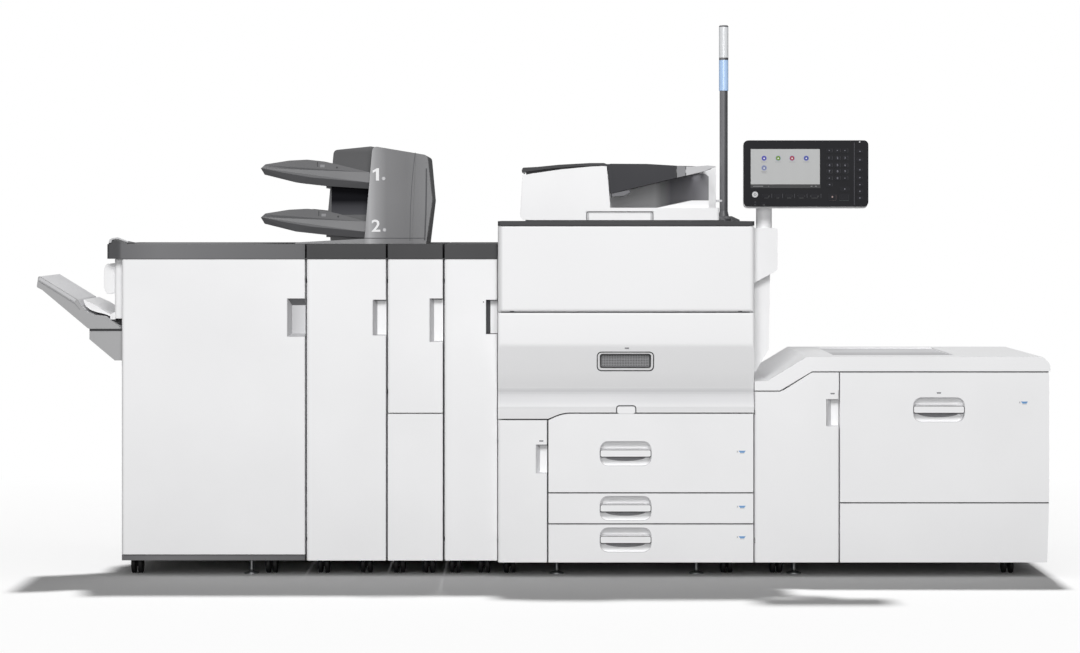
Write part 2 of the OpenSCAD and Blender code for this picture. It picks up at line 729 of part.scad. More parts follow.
module adf_body() {
    bumper_r = 8;
    notch_w = 212;
    notch_x = adf_x + 208;
    notch_zh = 28;
    ramp_x = adf_x + 432;
    ramp_z = slab_z1 + 23;
    color("#eff0f2") {
        difference() {
            union() {
                along_z(adf_z, slab_z1)
                    polygon(rounded(rect(adf_slab_x, adf_x1, adf_y, adf_pin_y), cover_r));
                along_y(adf_y + seam, adf_pin_y) polygon(adf_outline);
                block(adf_body_x1 - cut - small_r, adf_x1 + 2 * cover_r, column_y, adf_pin_y,
                    slab_z1 - cut, adf_top_z - small_r);
                rod_x(adf_x + wide_r, adf_x1 - wide_r, adf_pin_y, adf_pin_z, adf_pin_r);
                along_y(adf_y + wide_r, column_y + cut)
                    polygon([[ramp_x, slab_z1 - cut], [column_x, slab_z1 - cut],
                        [column_x, ramp_z], [ramp_x + handle_w * 2 / 3, ramp_z],
                        [ramp_x, slab_z1]]);
                for (x = [adf_slab_x + bay_margin, adf_x1 - bay_margin],
                        y = [adf_y + wide_r, adf_pin_y - 2 * bay_margin])
                    rod_z(x, y, engine_h + fit, adf_z + cut, bumper_r);
                for (y = [adf_y + seam, adf_cover_y1 - feed_ear_t])
                    feed_ear(y);
                for (y = [adf_tray_y - fit - tray_ear_t, adf_tray_y1 + fit])
                    tray_ear(y);
            }
            rod_y(feed_pin_x, adf_y - cut, adf_cover_y1 + cut, feed_pin_z, pin_r + fit);
            rod_y(tray_pin_x, adf_tray_y - tray_ear_t - cut, adf_tray_y1 + tray_ear_t + cut,
                tray_pin_z, pin_r + fit);
            for (x = adf_post_xs)
                block(x - 2 * fit, x + adf_post_w + 2 * fit, adf_pin_y - adf_pin_r - cut,
                    adf_pin_y + adf_pin_r + cut, adf_z - cut, adf_pin_z + adf_pin_r + seam);
            block(notch_x, notch_x + notch_w, adf_y - cut, adf_y + cover_r, adf_z - cut,
                adf_z + notch_zh);
        }
        for (x = adf_post_xs)
            rod_x(x - cut, x + adf_post_w + cut, adf_pin_y, adf_pin_z, 2 * pin_r);
    }
}

// Ears that hold the pins of the feed cover and document tray
module feed_ear(y) {
    rod_y(feed_pin_x, y, y + feed_ear_t, feed_pin_z, feed_knuckle_r);
    block(feed_pin_x - feed_knuckle_r, feed_pin_x + feed_knuckle_r, y, y + feed_ear_t,
        feed_pin_z - 2 * feed_knuckle_r, feed_pin_z);
}
module tray_ear(y) {
    rod_y(tray_pin_x, y, y + tray_ear_t, tray_pin_z, tray_pin_drop);
    block(adf_body_x1 - 2 * wide_r, tray_pin_x, y, y + tray_ear_t, tray_pin_z - tray_pin_drop,
        tray_pin_z + tray_pin_drop - 3 * fit);
}

// Feed cover, turning at its left end
module adf_feed_cover() {
    shell_t = 4;
    y0 = adf_y + seam + feed_ear_t + fit;
    y1 = adf_cover_y1 - feed_ear_t - fit;
    outline = [[feed_pin_x, feed_height(feed_pin_x) + fit],
        [feed_line[1].x, feed_line[1].y + fit], [feed_line[1].x, adf_top_z],
        [feed_line[0].x, adf_top_z - wide_r], [feed_line[0].x, feed_pin_z]];
    color("#6a6d70") {
        difference() {
            union() {
                along_y(y0, y1) polygon(rounded(outline, [0, 0, small_r, small_r, 0]));
                rod_y(feed_pin_x, y0, y1, feed_pin_z, feed_knuckle_r);
            }
            along_y(y0 + shell_t, y1 - shell_t)
                polygon([[outline[0].x + 3 * feed_knuckle_r, outline[0].y - cut],
                    [outline[1].x - shell_t, outline[1].y - cut],
                    [outline[2].x - shell_t, outline[2].y - shell_t],
                    [outline[3].x + 3 * feed_knuckle_r, outline[3].y - shell_t]]);
        }
        rod_y(feed_pin_x, y0 - feed_ear_t, y1 + feed_ear_t, feed_pin_z, pin_r);
    }
}

// Outline of the document tray in x and z
tray_ear_t = 8;
tray_pin_drop = 7;
tray_pin_x = tray_root_x + tray_pin_drop;
tray_pin_z = adf_top_z - cover_r - tray_pin_drop;
adf_tray_outline = rounded([[tray_root_x, adf_top_z - cut], [tray_root_x + cover_r,
    adf_top_z - 94], [tray_root_x + 206, adf_top_z - 47], [tray_end_x - 34, adf_top_z - 26],
    [tray_end_x, adf_top_z - wide_r], [tray_end_x - 2 * wide_r, adf_top_z - skin_t]],
    [tray_pin_drop, small_r, wide_r, wide_r, small_r, 0]);
adf_tray_y = adf_y + 28;
adf_tray_y1 = column_y - seam / 2;
guide_slot_x = tray_root_x + 70;
guide_slot_x1 = guide_slot_x + 120;
guide_t = 6;
guide_y = adf_tray_y + 50;
guide_y1 = adf_tray_y1 - 50;

module adf_tray() {
    floor_drop = 30;
    color("#55585b") {
        difference() {
            along_y(adf_tray_y, adf_tray_y1) polygon(adf_tray_outline);
            block(tray_root_x + 2 * wide_r, tray_end_x - 2 * wide_r, adf_tray_y + skin_t,
                adf_tray_y1 - skin_t, adf_top_z - floor_drop, adf_top_z + cut);
        }
        rod_y(tray_pin_x, adf_tray_y - tray_ear_t, adf_tray_y1 + tray_ear_t, tray_pin_z, pin_r);
    }
}

// A side guide stands on the tray's floor and slides across it
module side_guide(y, y1) {
    color("#7c7f82") {
        block(guide_slot_x, guide_slot_x1, y, y + guide_t, adf_top_z - 30 + fit,
            adf_top_z - cover_r);
        block(guide_slot_x + guide_t, guide_slot_x1 - guide_t, min(y, y1), max(y, y1) + guide_t,
            adf_top_z - 30 + fit, adf_top_z - 30 + fit + seam);
    }
}
module adf_guide_front() { side_guide(guide_y, guide_y + skin_t); }
module adf_guide_rear() { side_guide(guide_y1 - guide_t, guide_y1 - guide_t - skin_t); }

// Signal light

pole_x = engine_x1 - 62;
pole_y = back_y - 340;
lamp_seat_h = 8;
lamp_cap_h = 6;
upper_lamp_z = engine_h + pole_h - lamp_cap_h - lamp_h;
lower_lamp_z = upper_lamp_z - lamp_seat_h - lamp_h;

module signal_pole() {
    base_r = 26;
    base_h = 16;
    color("#45484b") {
        rod_z(pole_x, pole_y, engine_h, lower_lamp_z, pole_r);
        translate([pole_x, pole_y, engine_h]) rotate_extrude()
            polygon([[0, 0], [base_r, 0], [base_r, base_h / 2], [pole_r + small_r, base_h],
                [pole_r, 2 * base_h], [0, 2 * base_h]]);
        along_y(pole_y - pole_r, pole_y + pole_r)
            polygon([[pole_x, engine_h], [pole_x + 2 * base_r, engine_h],
                [pole_x + 2 * base_r, engine_h + small_r], [pole_x + base_r, engine_h + base_h],
                [pole_x, engine_h + base_h]]);
        rod_z(pole_x, pole_y, lower_lamp_z + lamp_h, upper_lamp_z, lamp_r);
        translate([pole_x, pole_y, upper_lamp_z + lamp_h]) rotate_extrude()
            polygon([[0, 0], [lamp_r, 0], [lamp_r, lamp_cap_h / 2],
                [lamp_r - lamp_cap_h / 2, lamp_cap_h], [0, lamp_cap_h]]);
    }
}
module lamp_lower() {
    color("#8fc6f2") rod_z(pole_x, pole_y, lower_lamp_z, lower_lamp_z + lamp_h, lamp_r);
}
module lamp_upper() {
    color("#e6e9ec") rod_z(pole_x, pole_y, upper_lamp_z, upper_lamp_z + lamp_h, lamp_r);
}

// Operation panel with its mount on the engine's right side

panel_x = engine_x1 - 33;
panel_x1 = panel_x + panel_w;
panel_face_y = front_y + 3;
panel_back_y = panel_face_y + case_t + back_t;
post_x = engine_x1 + 37.5;
post_y = front_y + 110;
post_r = 25;
post_z = engine_h + 40;
mount_z1 = engine_h - 22;
tilt_y = panel_back_y + 16;
tilt_z = panel_z + 52;
tilt_x = (panel_x + panel_x1) / 2;
knuckle_w = 60;
knuckle_r = 12;
ear_t = 12;
beam_h = 20;

module panel_mount() {
    color("#e7e8ea") {
        along_y(front_y + 40, post_y + 60)
            polygon(rounded([[engine_x1, mount_z1 - 172], [engine_x1 + 75, mount_z1 - 132],
                [engine_x1 + 75, mount_z1], [engine_x1, mount_z1]], [0, wide_r, small_r, 0]));
        along_y(front_y + 70, post_y + 430)
            polygon(rounded([[engine_x1, feeder_low_z + 59], [engine_x1 + 8, feeder_low_z + 59],
                [engine_x1 + 50, feeder_low_z + 129], [engine_x1 + 55, mount_z1 - 60],
                [engine_x1, mount_z1 - 60]], [0, small_r, wide_r, small_r, 0]));
        rod_z(post_x, post_y, mount_z1 - cut, post_z, post_r);
        rod_z(post_x, post_y, post_z - cut, post_z + beam_h - small_r, post_r / 2);
    }
}

// Swivel arm: a collar on the post, a beam and two ears for the tilt pin
module panel_arm() {
    beam_z = post_z + fit;
    beam_z1 = beam_z + beam_h;
    beam_y = post_y - post_r + fit;
    color("#dfe1e3") difference() {
        union() {
            rod_z(post_x, post_y, beam_z, beam_z1, post_r);
            along_z(beam_z, beam_z1)
                polygon([[post_x, beam_y], [tilt_x + knuckle_w / 2 + ear_t + fit, tilt_y - knuckle_r],
                    [tilt_x + knuckle_w / 2 + ear_t + fit, tilt_y + 2 * knuckle_r],
                    [post_x, post_y + post_r]]);
            for (s = [-1, 1]) {
                ear_x = tilt_x + s * (knuckle_w / 2 + fit + ear_t / 2) - ear_t / 2;
                rod_x(ear_x, ear_x + ear_t, tilt_y, tilt_z, knuckle_r);
                block(ear_x, ear_x + ear_t, tilt_y - knuckle_r, tilt_y + knuckle_r, beam_z,
                    tilt_z);
            }
        }
        rod_z(post_x, post_y, beam_z - cut, beam_z1 - small_r + fit, post_r / 2 + fit);
        rod_x(tilt_x - knuckle_w, tilt_x + knuckle_w, tilt_y, tilt_z, 2 * pin_r + fit);
    }
}

// White back shell with the knuckle of the tilt pin
module panel_back() {
    rim = 6;
    color("#eceded") {
        difference() {
            along_y(panel_face_y + case_t, panel_back_y)
                polygon(rounded(rect(panel_x + fit, panel_x1 - fit, panel_z - rim,
                    panel_z + panel_h - fit), wide_r));
            for (i = [-3:3])
                block(tilt_x + i * 2 * wide_r - small_r, tilt_x + i * 2 * wide_r + small_r,
                    panel_back_y - small_r, panel_back_y + cut, panel_z + panel_h / 2 + wide_r,
                    panel_z + panel_h - 2 * wide_r);
        }
        rod_x(tilt_x - knuckle_w / 2, tilt_x + knuckle_w / 2, tilt_y, tilt_z, knuckle_r);
        block(tilt_x - knuckle_w / 2, tilt_x + knuckle_w / 2, panel_back_y - cut, tilt_y,
            tilt_z - knuckle_r, tilt_z + knuckle_r);
        rod_x(tilt_x - knuckle_w / 2 - ear_t, tilt_x + knuckle_w / 2 + ear_t, tilt_y, tilt_z,
            2 * pin_r);
    }
}

screen_x = panel_x + 21;
screen_z = panel_z + 58;
screen_w = 216;
screen_h = 121;
screen_t = 4;
home_x = panel_x + 34.5;
home_z = panel_z + 37;
home_r = 9.3;
home_t = 8;

module panel_case() {
    color("#2f3134") difference() {
        along_y(panel_face_y, panel_face_y + case_t)
            polygon(rounded(rect(panel_x, panel_x1, panel_z, panel_z + panel_h), wide_r));
        block(screen_x, screen_x + screen_w, panel_face_y - cut, panel_face_y + screen_t,
            screen_z, screen_z + screen_h);
        rod_y(home_x, panel_face_y - cut, panel_face_y + home_t + 2 * fit, home_z, home_r + fit);
    }
}
module panel_screen() {
    color("#b9bbbd") block(screen_x + fit, screen_x + screen_w - fit, panel_face_y + fit,
        panel_face_y + screen_t, screen_z + fit, screen_z + screen_h - fit);
}
module home_key() {
    color("#b8bbbe") rod_y(home_x, panel_face_y - cut / 2, panel_face_y + home_t - small_r, home_z,
        home_r);
}

// Keys of the mat: [middle x, middle z, width, height] as shares of the panel's size
key_t = 1.6;
keypad_x_shares = [0.685, 0.75, 0.81];
keypad_z_shares = [0.845, 0.733, 0.625, 0.535, 0.43];
side_key_x_share = 0.928;
side_key_z_shares = [0.833, 0.705, 0.555, 0.437, 0.33, 0.234, 0.13];
function_key_x_shares = [0.17, 0.27, 0.36, 0.46, 0.565];
function_key_z_share = 0.16;
key_share_table = concat(
    [for (x = keypad_x_shares, z = keypad_z_shares) [x, z, 0.043, 0.07]],
    [for (z = side_key_z_shares) [side_key_x_share, z, 0.05, 0.06]],
    [for (x = function_key_x_shares) [x, function_key_z_share, 0.05, 0.055]],
    [[0.685, 0.33, 0.043, 0.07], [0.807, 0.265, 0.074, 0.07], [0.708, 0.14, 0.062, 0.1],
        [0.804, 0.14, 0.074, 0.1], [0.088, 0.045, 0.034, 0.04], [0.159, 0.045, 0.034, 0.04]]);

module panel_keys() {
    color("#4a4d50") for (k = key_share_table) {
        x = panel_x + k[0] * panel_w;
        z = panel_z + k[1] * panel_h;
        w = k[2] * panel_w / 2;
        h = k[3] * panel_h / 2;
        along_y(panel_face_y - key_t, panel_face_y)
            polygon(rounded(rect(x - w, x + w, z - h, z + h), cut));
    }
}

// Levelling feet, casters and wheels

module levelling_feet() {
    foot_h = 8;
    color("#9b9ea1") for (x = foot_xs, y = foot_ys)
        translate([x, y, 0]) rotate_extrude()
            polygon([[0, 0], [foot_r, 0], [foot_r, foot_h / 2], [stem_r + small_r, foot_h],
                [stem_r, foot_h + small_r], [stem_r, floor_z - 12], [0, floor_z - 12]]);
}

// Hood and web of a twin caster, the web carries the axle
module caster_forks() {
    plate_t = 4;
    plate_w = 44;
    hood_w = web_t + 2 * wheel_w + 2 * cut;
    color("#303234") for (x = caster_xs, y = [caster_y, rear_caster_y])
        difference() {
            union() {
                block(x - hood_w / 2, x + hood_w / 2, y - plate_w / 2, y + plate_w / 2,
                    floor_z - plate_t, floor_z);
                along_x(x - web_t / 2, x + web_t / 2)
                    polygon([[y - plate_w / 2, floor_z - plate_t / 2],
                        [y - small_r - pin_r, wheel_r - cover_r],
                        [y + small_r + pin_r, wheel_r - cover_r],
                        [y + plate_w / 2, floor_z - plate_t / 2]]);
            }
            rod_x(x - web_t, x + web_t, y, wheel_r, 2 * pin_r + fit);
        }
}

// Twin wheels joined by their axle
module caster_wheels(y) {
    hub_r = 12;
    tread_w = 2;
    color("#1f2022") for (x = caster_xs) {
        rod_x(x - web_t / 2 - cut, x + web_t / 2 + cut, y, wheel_r, 2 * pin_r);
        for (s = [-1, 1])
            translate([x + s * (web_t / 2 + fit), y, wheel_r]) rotate([0, s * 90, 0])
                rotate_extrude() polygon([[0, 0], [wheel_r - tread_w, 0], [wheel_r, tread_w],
                    [wheel_r, wheel_w - tread_w], [wheel_r - tread_w, wheel_w],
                    [hub_r, wheel_w - tread_w], [0, wheel_w - tread_w]]);
    }
}
module front_wheels() { caster_wheels(caster_y); }
module rear_wheels() { caster_wheels(rear_caster_y); }

// Finisher and path modules

cabinet_z1 = cap_z;
bay_inset = 22;
bay_depth = 90;
dock_r = 12;
dock_y = module_back_y - 150;

// Bosses that meet the neighbour's side where two modules are docked
module dock_bosses(x, length) {
    for (z = [cabinet_z1 / 3, cabinet_z1 * 3 / 4])
        rod_x(x - cut, x + length, dock_y, z, dock_r);
}

// A cabinet with skirts down its sides and a shallow bay behind its door
module cabinet(x0, x1, bay_z0, door_z0, door_z1) {
    difference() {
        union() {
            block(x0, x1, module_frame_y, module_back_y, floor_z, cabinet_z1);
            for (x = [x0, x1 - skin_t])
                block(x, x + skin_t, module_frame_y, module_back_y, base_z, floor_z + cut);
            block(x0, x1, module_back_y - skin_t, module_back_y, base_z, floor_z + cut);
        }
        difference() {
            block(x0 + bay_inset, x1 - bay_inset, module_frame_y - cut,
                module_frame_y + bay_depth, bay_z0 + bay_inset, door_z1 - bay_inset);
            children();
        }
    }
    door_lugs(x0, module_y, door_z0, door_z1, module_frame_y);
}

// What stays in the bay: guide plates of the paper path and round jam knobs
module path_unit(x0, x1, zs, knob_r) {
    plate_t = 18;
    y1 = module_frame_y + bay_depth + cut;
    for (z = zs) {
        block(x0 + bay_inset - cut, x1 - bay_inset + cut, module_frame_y + plate_t, y1, z,
            z + plate_t);
        rod_y(x1 - bay_inset - 2 * knob_r, module_frame_y + small_r, y1, z + plate_t / 2, knob_r);
    }
}

module_x1s = [finisher_x + finisher_w, folder_x + folder_w, inserter_x + inserter_w,
    relay_x + relay_w];
finisher_foot = [foot_xs[0]];
kick_z = base_z + 3;
kick_z1 = kick_z + 17;
guard_x = finisher_x - 55;
side_block_x = finisher_x - 27;
side_block_z = cap_z - 188;
guard_z = cap_z - 110;
guard_z1 = cap_z - 17;
side_block_y1 = module_back_y - bay_margin;
rail_ys = [module_y + bay_margin, module_y + tray_d];
rail_t = 8;
rail_d = 14;
exit_x = finisher_x - 33;
exit_z = side_block_z + 5;
exit_y = module_frame_y + rail_d + seam;
exit_y1 = exit_y + tray_d - bay_margin;

module finisher_cabinet() {
    x1 = module_x1s[0];
    color("#e4e6e8") {
        difference() {
            union() {
                cabinet(finisher_x, x1, floor_z, kick_z1, module_door_z1)
                    path_unit(finisher_x, x1, [cabinet_z1 * 0.35, cabinet_z1 * 0.55,
                        cabinet_z1 * 0.75], wide_r + small_r);
                along_z(side_block_z, cap_z - cut / 2)
                    polygon(rounded(rect(side_block_x, finisher_x + cut, module_frame_y,
                        side_block_y1), [cover_r, 0, 0, cover_r]));
                along_z(guard_z, guard_z1)
                    polygon(rounded(rect(guard_x, side_block_x + cut, module_frame_y + wide_r,
                        side_block_y1 - wide_r), [wide_r, 0, 0, wide_r]));
                for (y = rail_ys)
                    block(finisher_x - rail_t, finisher_x + cut, y, y + rail_d, base_z + skin_t,
                        side_block_z + cut);
                for (y = [exit_y - rail_d - fit, exit_y1 + fit])
                    along_y(y, y + rail_d)
                        polygon([[side_block_x + cut, exit_z - cover_r], [side_block_x + cut,
                            exit_z + 2 * cover_r], [exit_x - cover_r, exit_z + cover_r],
                            [exit_x - cover_r, exit_z - cover_r]]);
                foot_bosses(finisher_foot);
                dock_bosses(x1, dock_gap);
            }
            foot_bores(finisher_foot);
            for (y = [exit_y - rail_d - fit, exit_y1 + fit])
                rod_y(exit_x, y - cut, y + rail_d + cut, exit_z, pin_r + fit);
        }
    }
}

module finisher_door() {
    x1 = module_x1s[0];
    color("#f3f4f6") side_door(rect(finisher_x, x1, kick_z1 + seam / 2, module_door_z1),
        finisher_x, x1, module_y, kick_z1 + seam / 2, module_door_z1,
        [cap_z - 244, cap_z - 124, 56]);
}

// Output tray with its raised tip, a level stretch for the hand and a curved root
tray_y_front = module_y + tray_setback;
tray_root_z = side_block_z - 22;
shift_outline = rounded([[finisher_x - 271, tray_root_z + 121], [finisher_x - 253, tray_root_z + 111],
    [finisher_x - 109, tray_root_z - 10], [finisher_x - 10, tray_root_z - 10],
    [finisher_x - 12, tray_root_z - 2], [finisher_x - 57, tray_root_z + 29],
    [finisher_x - 91, tray_root_z + 32], [finisher_x - 116, tray_root_z + 44],
    [finisher_x - 130, tray_root_z + 59], [finisher_x - 144, tray_root_z + 82],
    [finisher_x - 266, tray_root_z + 157]],
    [small_r, 0, wide_r, 0, 0, wide_r, wide_r, small_r, small_r, small_r, small_r]);
function lowered(points, by) = [for (p = points) [p.x, p.y - by]];

module shift_tray() {
    tray_rim = 14;
    floor_drop = 6;
    color("#a9abad") difference() {
        along_y(tray_y_front, tray_y_front + tray_d) polygon(shift_outline);
        difference() {
            along_y(tray_y_front + tray_rim, tray_y_front + tray_d - tray_rim)
                polygon(lowered(shift_outline, 3 * floor_drop));
            block(finisher_x - tray_reach, finisher_x, tray_y_front, tray_y_front + tray_d,
                tray_root_z - tray_reach, tray_root_z - floor_drop);
        }
    }
}

// Carriage under the tray, with shoes that run along the two rails of the finisher's side
module tray_carriage() {
    reach = 106;
    drop = 100;
    color("#8c8f92") difference() {
        along_y(tray_y_front + small_r, tray_y_front + tray_d - small_r)
            polygon([[finisher_x - reach, tray_root_z - skin_t], [finisher_x - reach,
                tray_root_z - skin_t - drop / 3], [finisher_x - reach / 4, tray_root_z - skin_t - drop],
                [finisher_x - fit, tray_root_z - skin_t - drop],
                [finisher_x - fit, tray_root_z - skin_t]]);
        for (y = rail_ys)
            block(finisher_x - rail_t - fit, finisher_x + cut, y - fit, y + rail_d + fit,
                tray_root_z - drop - skin_t - cut, tray_root_z);
    }
}

// Bellied plate that leads sheets onto the tray, hung on two pins
module exit_guide() {
    guide_t = 5;
    over = [[exit_x, exit_z + guide_t / 2], [finisher_x - 60, exit_z + 17],
        [finisher_x - 90, exit_z + 37], [finisher_x - 127, exit_z + 54]];
    under = [[finisher_x - 127, exit_z + 49], [finisher_x - 120, exit_z + 33],
        [finisher_x - 104, exit_z + 21], [finisher_x - 84, exit_z + 14],
        [finisher_x - 62, exit_z + 9], [exit_x, exit_z - guide_t / 2]];
    color("#eceef0") {
        along_y(exit_y, exit_y1) polygon(concat(over, under));
        rod_y(exit_x, exit_y, exit_y1, exit_z, pin_r + cut);
        rod_y(exit_x, exit_y - rail_d, exit_y1 + rail_d, exit_z, pin_r);
    }
}

// Dark caps of the modules, the finisher's kick strip and the low lever on its cap
module module_trims() {
    cap_reach = 46;
    lever_w = 62;
    lever_h = 15;
    color("#4d5053") {
        along_z(cap_z, module_h)
            polygon(rounded(rect(finisher_x - cap_reach, module_x1s[0], module_y, module_back_y),
                [cover_r, 0, 0, cover_r]));
        for (m = [[folder_x, module_x1s[1]], [inserter_x, module_x1s[2]], [relay_x, module_x1s[3]]])
            along_z(cap_z, module_h)
                polygon(rounded(rect(m[0], m[1], module_y, module_back_y), [cut, cut, 0, 0]));
        block(finisher_x, module_x1s[0], module_y + small_r, module_frame_y, kick_z, kick_z1 - fit);
    }
    color("#b4b7ba") along_y(module_y + small_r, module_y + 3 * lever_w)
        polygon([[finisher_x - cap_reach + small_r, module_h],
            [finisher_x - cap_reach + lever_w, module_h],
            [finisher_x - cap_reach + lever_w, module_h + small_r],
            [finisher_x - cap_reach + cover_r, module_h + lever_h]]);
}

recess_zs = [cap_z - 240, cap_z - 128];
module folder_cabinet() {
    color("#e6e8ea") {
        cabinet(folder_x, module_x1s[1], floor_z, kick_z, module_door_z1)
            path_unit(folder_x, module_x1s[1], [cabinet_z1 * 0.3, cabinet_z1 * 0.5,
                cabinet_z1 * 0.7], wide_r);
        dock_bosses(module_x1s[1], dock_gap);
    }
}
module folder_door() {
    color("#f2f3f5") side_door(rect(folder_x, module_x1s[1], kick_z, module_door_z1), folder_x,
        module_x1s[1], module_y, kick_z, module_door_z1, [recess_zs[0], recess_zs[1], 42]);
}

inserter_seam_z = door_seam_z - 2;
module inserter_cabinet() {
    color("#e6e8ea") {
        cabinet(inserter_x, module_x1s[2], inserter_seam_z, inserter_seam_z + seam / 2,
                module_door_z1)
            path_unit(inserter_x, module_x1s[2], [cabinet_z1 * 0.62, cabinet_z1 * 0.8], wide_r);
        dock_bosses(module_x1s[2], dock_gap);
        along_z(kick_z, inserter_seam_z - seam / 2)
            polygon(rounded(rect(inserter_x, module_x1s[2], module_y, module_frame_y + cut),
                [small_r, small_r, 0, 0]));
    }
}
module inserter_door() {
    z0 = inserter_seam_z + seam / 2;
    color("#f2f3f5") side_door(rect(inserter_x, module_x1s[2], z0, module_door_z1), inserter_x,
        module_x1s[2], module_y, z0, module_door_z1, [recess_zs[0] - 20, recess_zs[1] + small_r, 42]);
}

module relay_cabinet() {
    color("#e6e8ea") {
        cabinet(relay_x, module_x1s[3], floor_z, kick_z, module_door_z1)
            path_unit(relay_x, module_x1s[3], [cabinet_z1 * 0.4, cabinet_z1 * 0.65], wide_r);
        dock_bosses(module_x1s[3], engine_gap);
    }
}
module relay_door() {
    color("#f2f3f5") side_door(rect(relay_x, module_x1s[3], kick_z, module_door_z1), relay_x,
        module_x1s[3], module_y, kick_z, module_door_z1, [recess_zs[0] + small_r, recess_zs[1], 36]);
}

// Cover interposer on the caps

interposer_x = folder_x + 62;
interposer_y = front_y + 240;
interposer_y1 = interposer_y + 350;
interposer_front_y = interposer_y - 55;
interposer_h = 311;
cover_x = interposer_x + 110;
cover_x1 = interposer_x + 307;
level_pitch = 156.5;
upper_level = 212;
slot_h = 70;
root_l = 36;
tray_tip_x = interposer_x - 220;
sheet_tray_y = interposer_y - 45;
sheet_tray_y1 = interposer_y + 260;
levels = [module_h + upper_level - level_pitch, module_h + upper_level];

// Left edge of the front cover at a height above the caps
function cover_edge_x(z) = cover_x + (z - module_h) * 27 / interposer_h;

module interposer_body() {
    outline = rounded([[interposer_x, module_h], [cover_x1, module_h],
        [cover_x1 + 17, module_h + 139], [cover_x1 + 4, module_h + interposer_h - 29],
        [interposer_x + 128, module_h + interposer_h], [interposer_x + 10, module_h + interposer_h - 12],
        [interposer_x - 8, module_h + 108]], [0, 0, wide_r, wide_r, wide_r, wide_r, wide_r]);
    color("#6d7073") difference() {
        along_y(interposer_y, interposer_y1) polygon(outline);
        for (z = levels)
            block(interposer_x - 3 * root_l, interposer_x + root_l + fit, interposer_y + 4 * fit,
                sheet_tray_y1 + fit, z - slot_h / 2 - fit, z + slot_h / 2 + fit);
    }
}

// Front cover with a vertical seam and a bulged right side
module interposer_cover() {
    seam_x = cover_x + 151;
    outline = rounded([[cover_edge_x(module_h), module_h], [cover_x1, module_h],
        [cover_x1 + 20, module_h + 139], [cover_x1 + 4, module_h + interposer_h - 29],
        [cover_edge_x(module_h + interposer_h), module_h + interposer_h]],
        [0, 0, 4 * wide_r, wide_r, wide_r]);
    color("#75787b") {
        difference() {
            along_y(interposer_front_y, interposer_y) polygon(outline);
            along_y(interposer_front_y - cut, interposer_front_y + cut)
                polygon([[seam_x, module_h - cut], [seam_x + cut, module_h - cut],
                    [seam_x + wide_r + cut, module_h + interposer_h],
                    [seam_x + wide_r, module_h + interposer_h]]);
        }
        along_y(interposer_front_y + small_r, interposer_y)
            polygon([[interposer_x - 109, module_h], [cover_x + cut, module_h],
                [cover_x + cut, module_h + 16], [interposer_x - 109, module_h + small_r]]);
    }
}

// Sheet tray with its root in a slot of the body, a leaning flank and a bowed side guide
module sheet_tray(z) {
    rim = 10;
    floor_t = 12;
    flank_y = sheet_tray_y + wide_r;
    low_right = [cover_edge_x(z - 37) - fit, z - 37];
    high_right = [cover_edge_x(z + 15) - fit, z + 15];
    skirt = [[tray_tip_x, z + 28], [tray_tip_x + 12, z + 8], [tray_tip_x + 112, z - 17],
        [interposer_x, z - 29], low_right];
    side = rounded(concat(skirt, [high_right, [interposer_x + 27, z + 40],
        [interposer_x - 17, z + 50], [tray_tip_x + 148, z + 56], [tray_tip_x + 90, z + 53],
        [tray_tip_x + 14, z + 41]]),
        [small_r, small_r, wide_r, 0, 0, 0, 0, bay_margin, bay_margin, bay_margin, cover_r]);
    color("#6a6d70") {
        hull() {
            along_y(sheet_tray_y, sheet_tray_y + cut)
                polygon([[tray_tip_x + cut, z + 29], [tray_tip_x + 74, z + 14],
                    [tray_tip_x + 162, z - 1], [low_right.x, z - 17]]);
            along_y(flank_y - cut, flank_y)
                polygon(concat(skirt, [high_right, [tray_tip_x + 14, z + 38]]));
        }
        difference() {
            along_y(flank_y - cut / 2, sheet_tray_y1) polygon(side);
            along_y(flank_y + rim, sheet_tray_y1 - rim) polygon(lowered(side, -floor_t));
            block(interposer_x - rim, high_right.x + cut, interposer_y - fit, sheet_tray_y1 + cut,
                z - slot_h, z + slot_h);
        }
        block(interposer_x - 14, interposer_x + root_l, interposer_y + 5 * fit, sheet_tray_y1,
            z - slot_h / 2, z - slot_h / 2 + floor_t);
    }
}
module interposer_trays() { for (z = levels) sheet_tray(z); }

// Paper feeder

feeder_door_x1 = feeder_x + 263;
feeder_drawer_x = feeder_door_x1 + seam;
feeder_low_x = feeder_x + 79;
feeder_rise_x = feeder_x + 180;
feeder_seam_z = feeder_h - 47;
feeder_low_z = feeder_seam_z - 60;
feeder_panel_z = feeder_h - 456;
feeder_bay_z1 = feeder_seam_z - 18;
feeder_bay_l = 620;
feeder_tray_z = feeder_panel_z + 18;
feeder_tray_z1 = feeder_bay_z1 - 20;
feeder_handle_x = feeder_x + 576;
feeder_handle_z = feeder_seam_z - 118;
feeder_foot = [foot_xs[3]];
feeder_right_taper = 10;

// Line of the seam under the top cover, raised by a distance
function feeder_line(up) = [[feeder_rise_x, feeder_seam_z + up],
    [feeder_low_x, feeder_low_z + up], [feeder_x, feeder_low_z + up]];

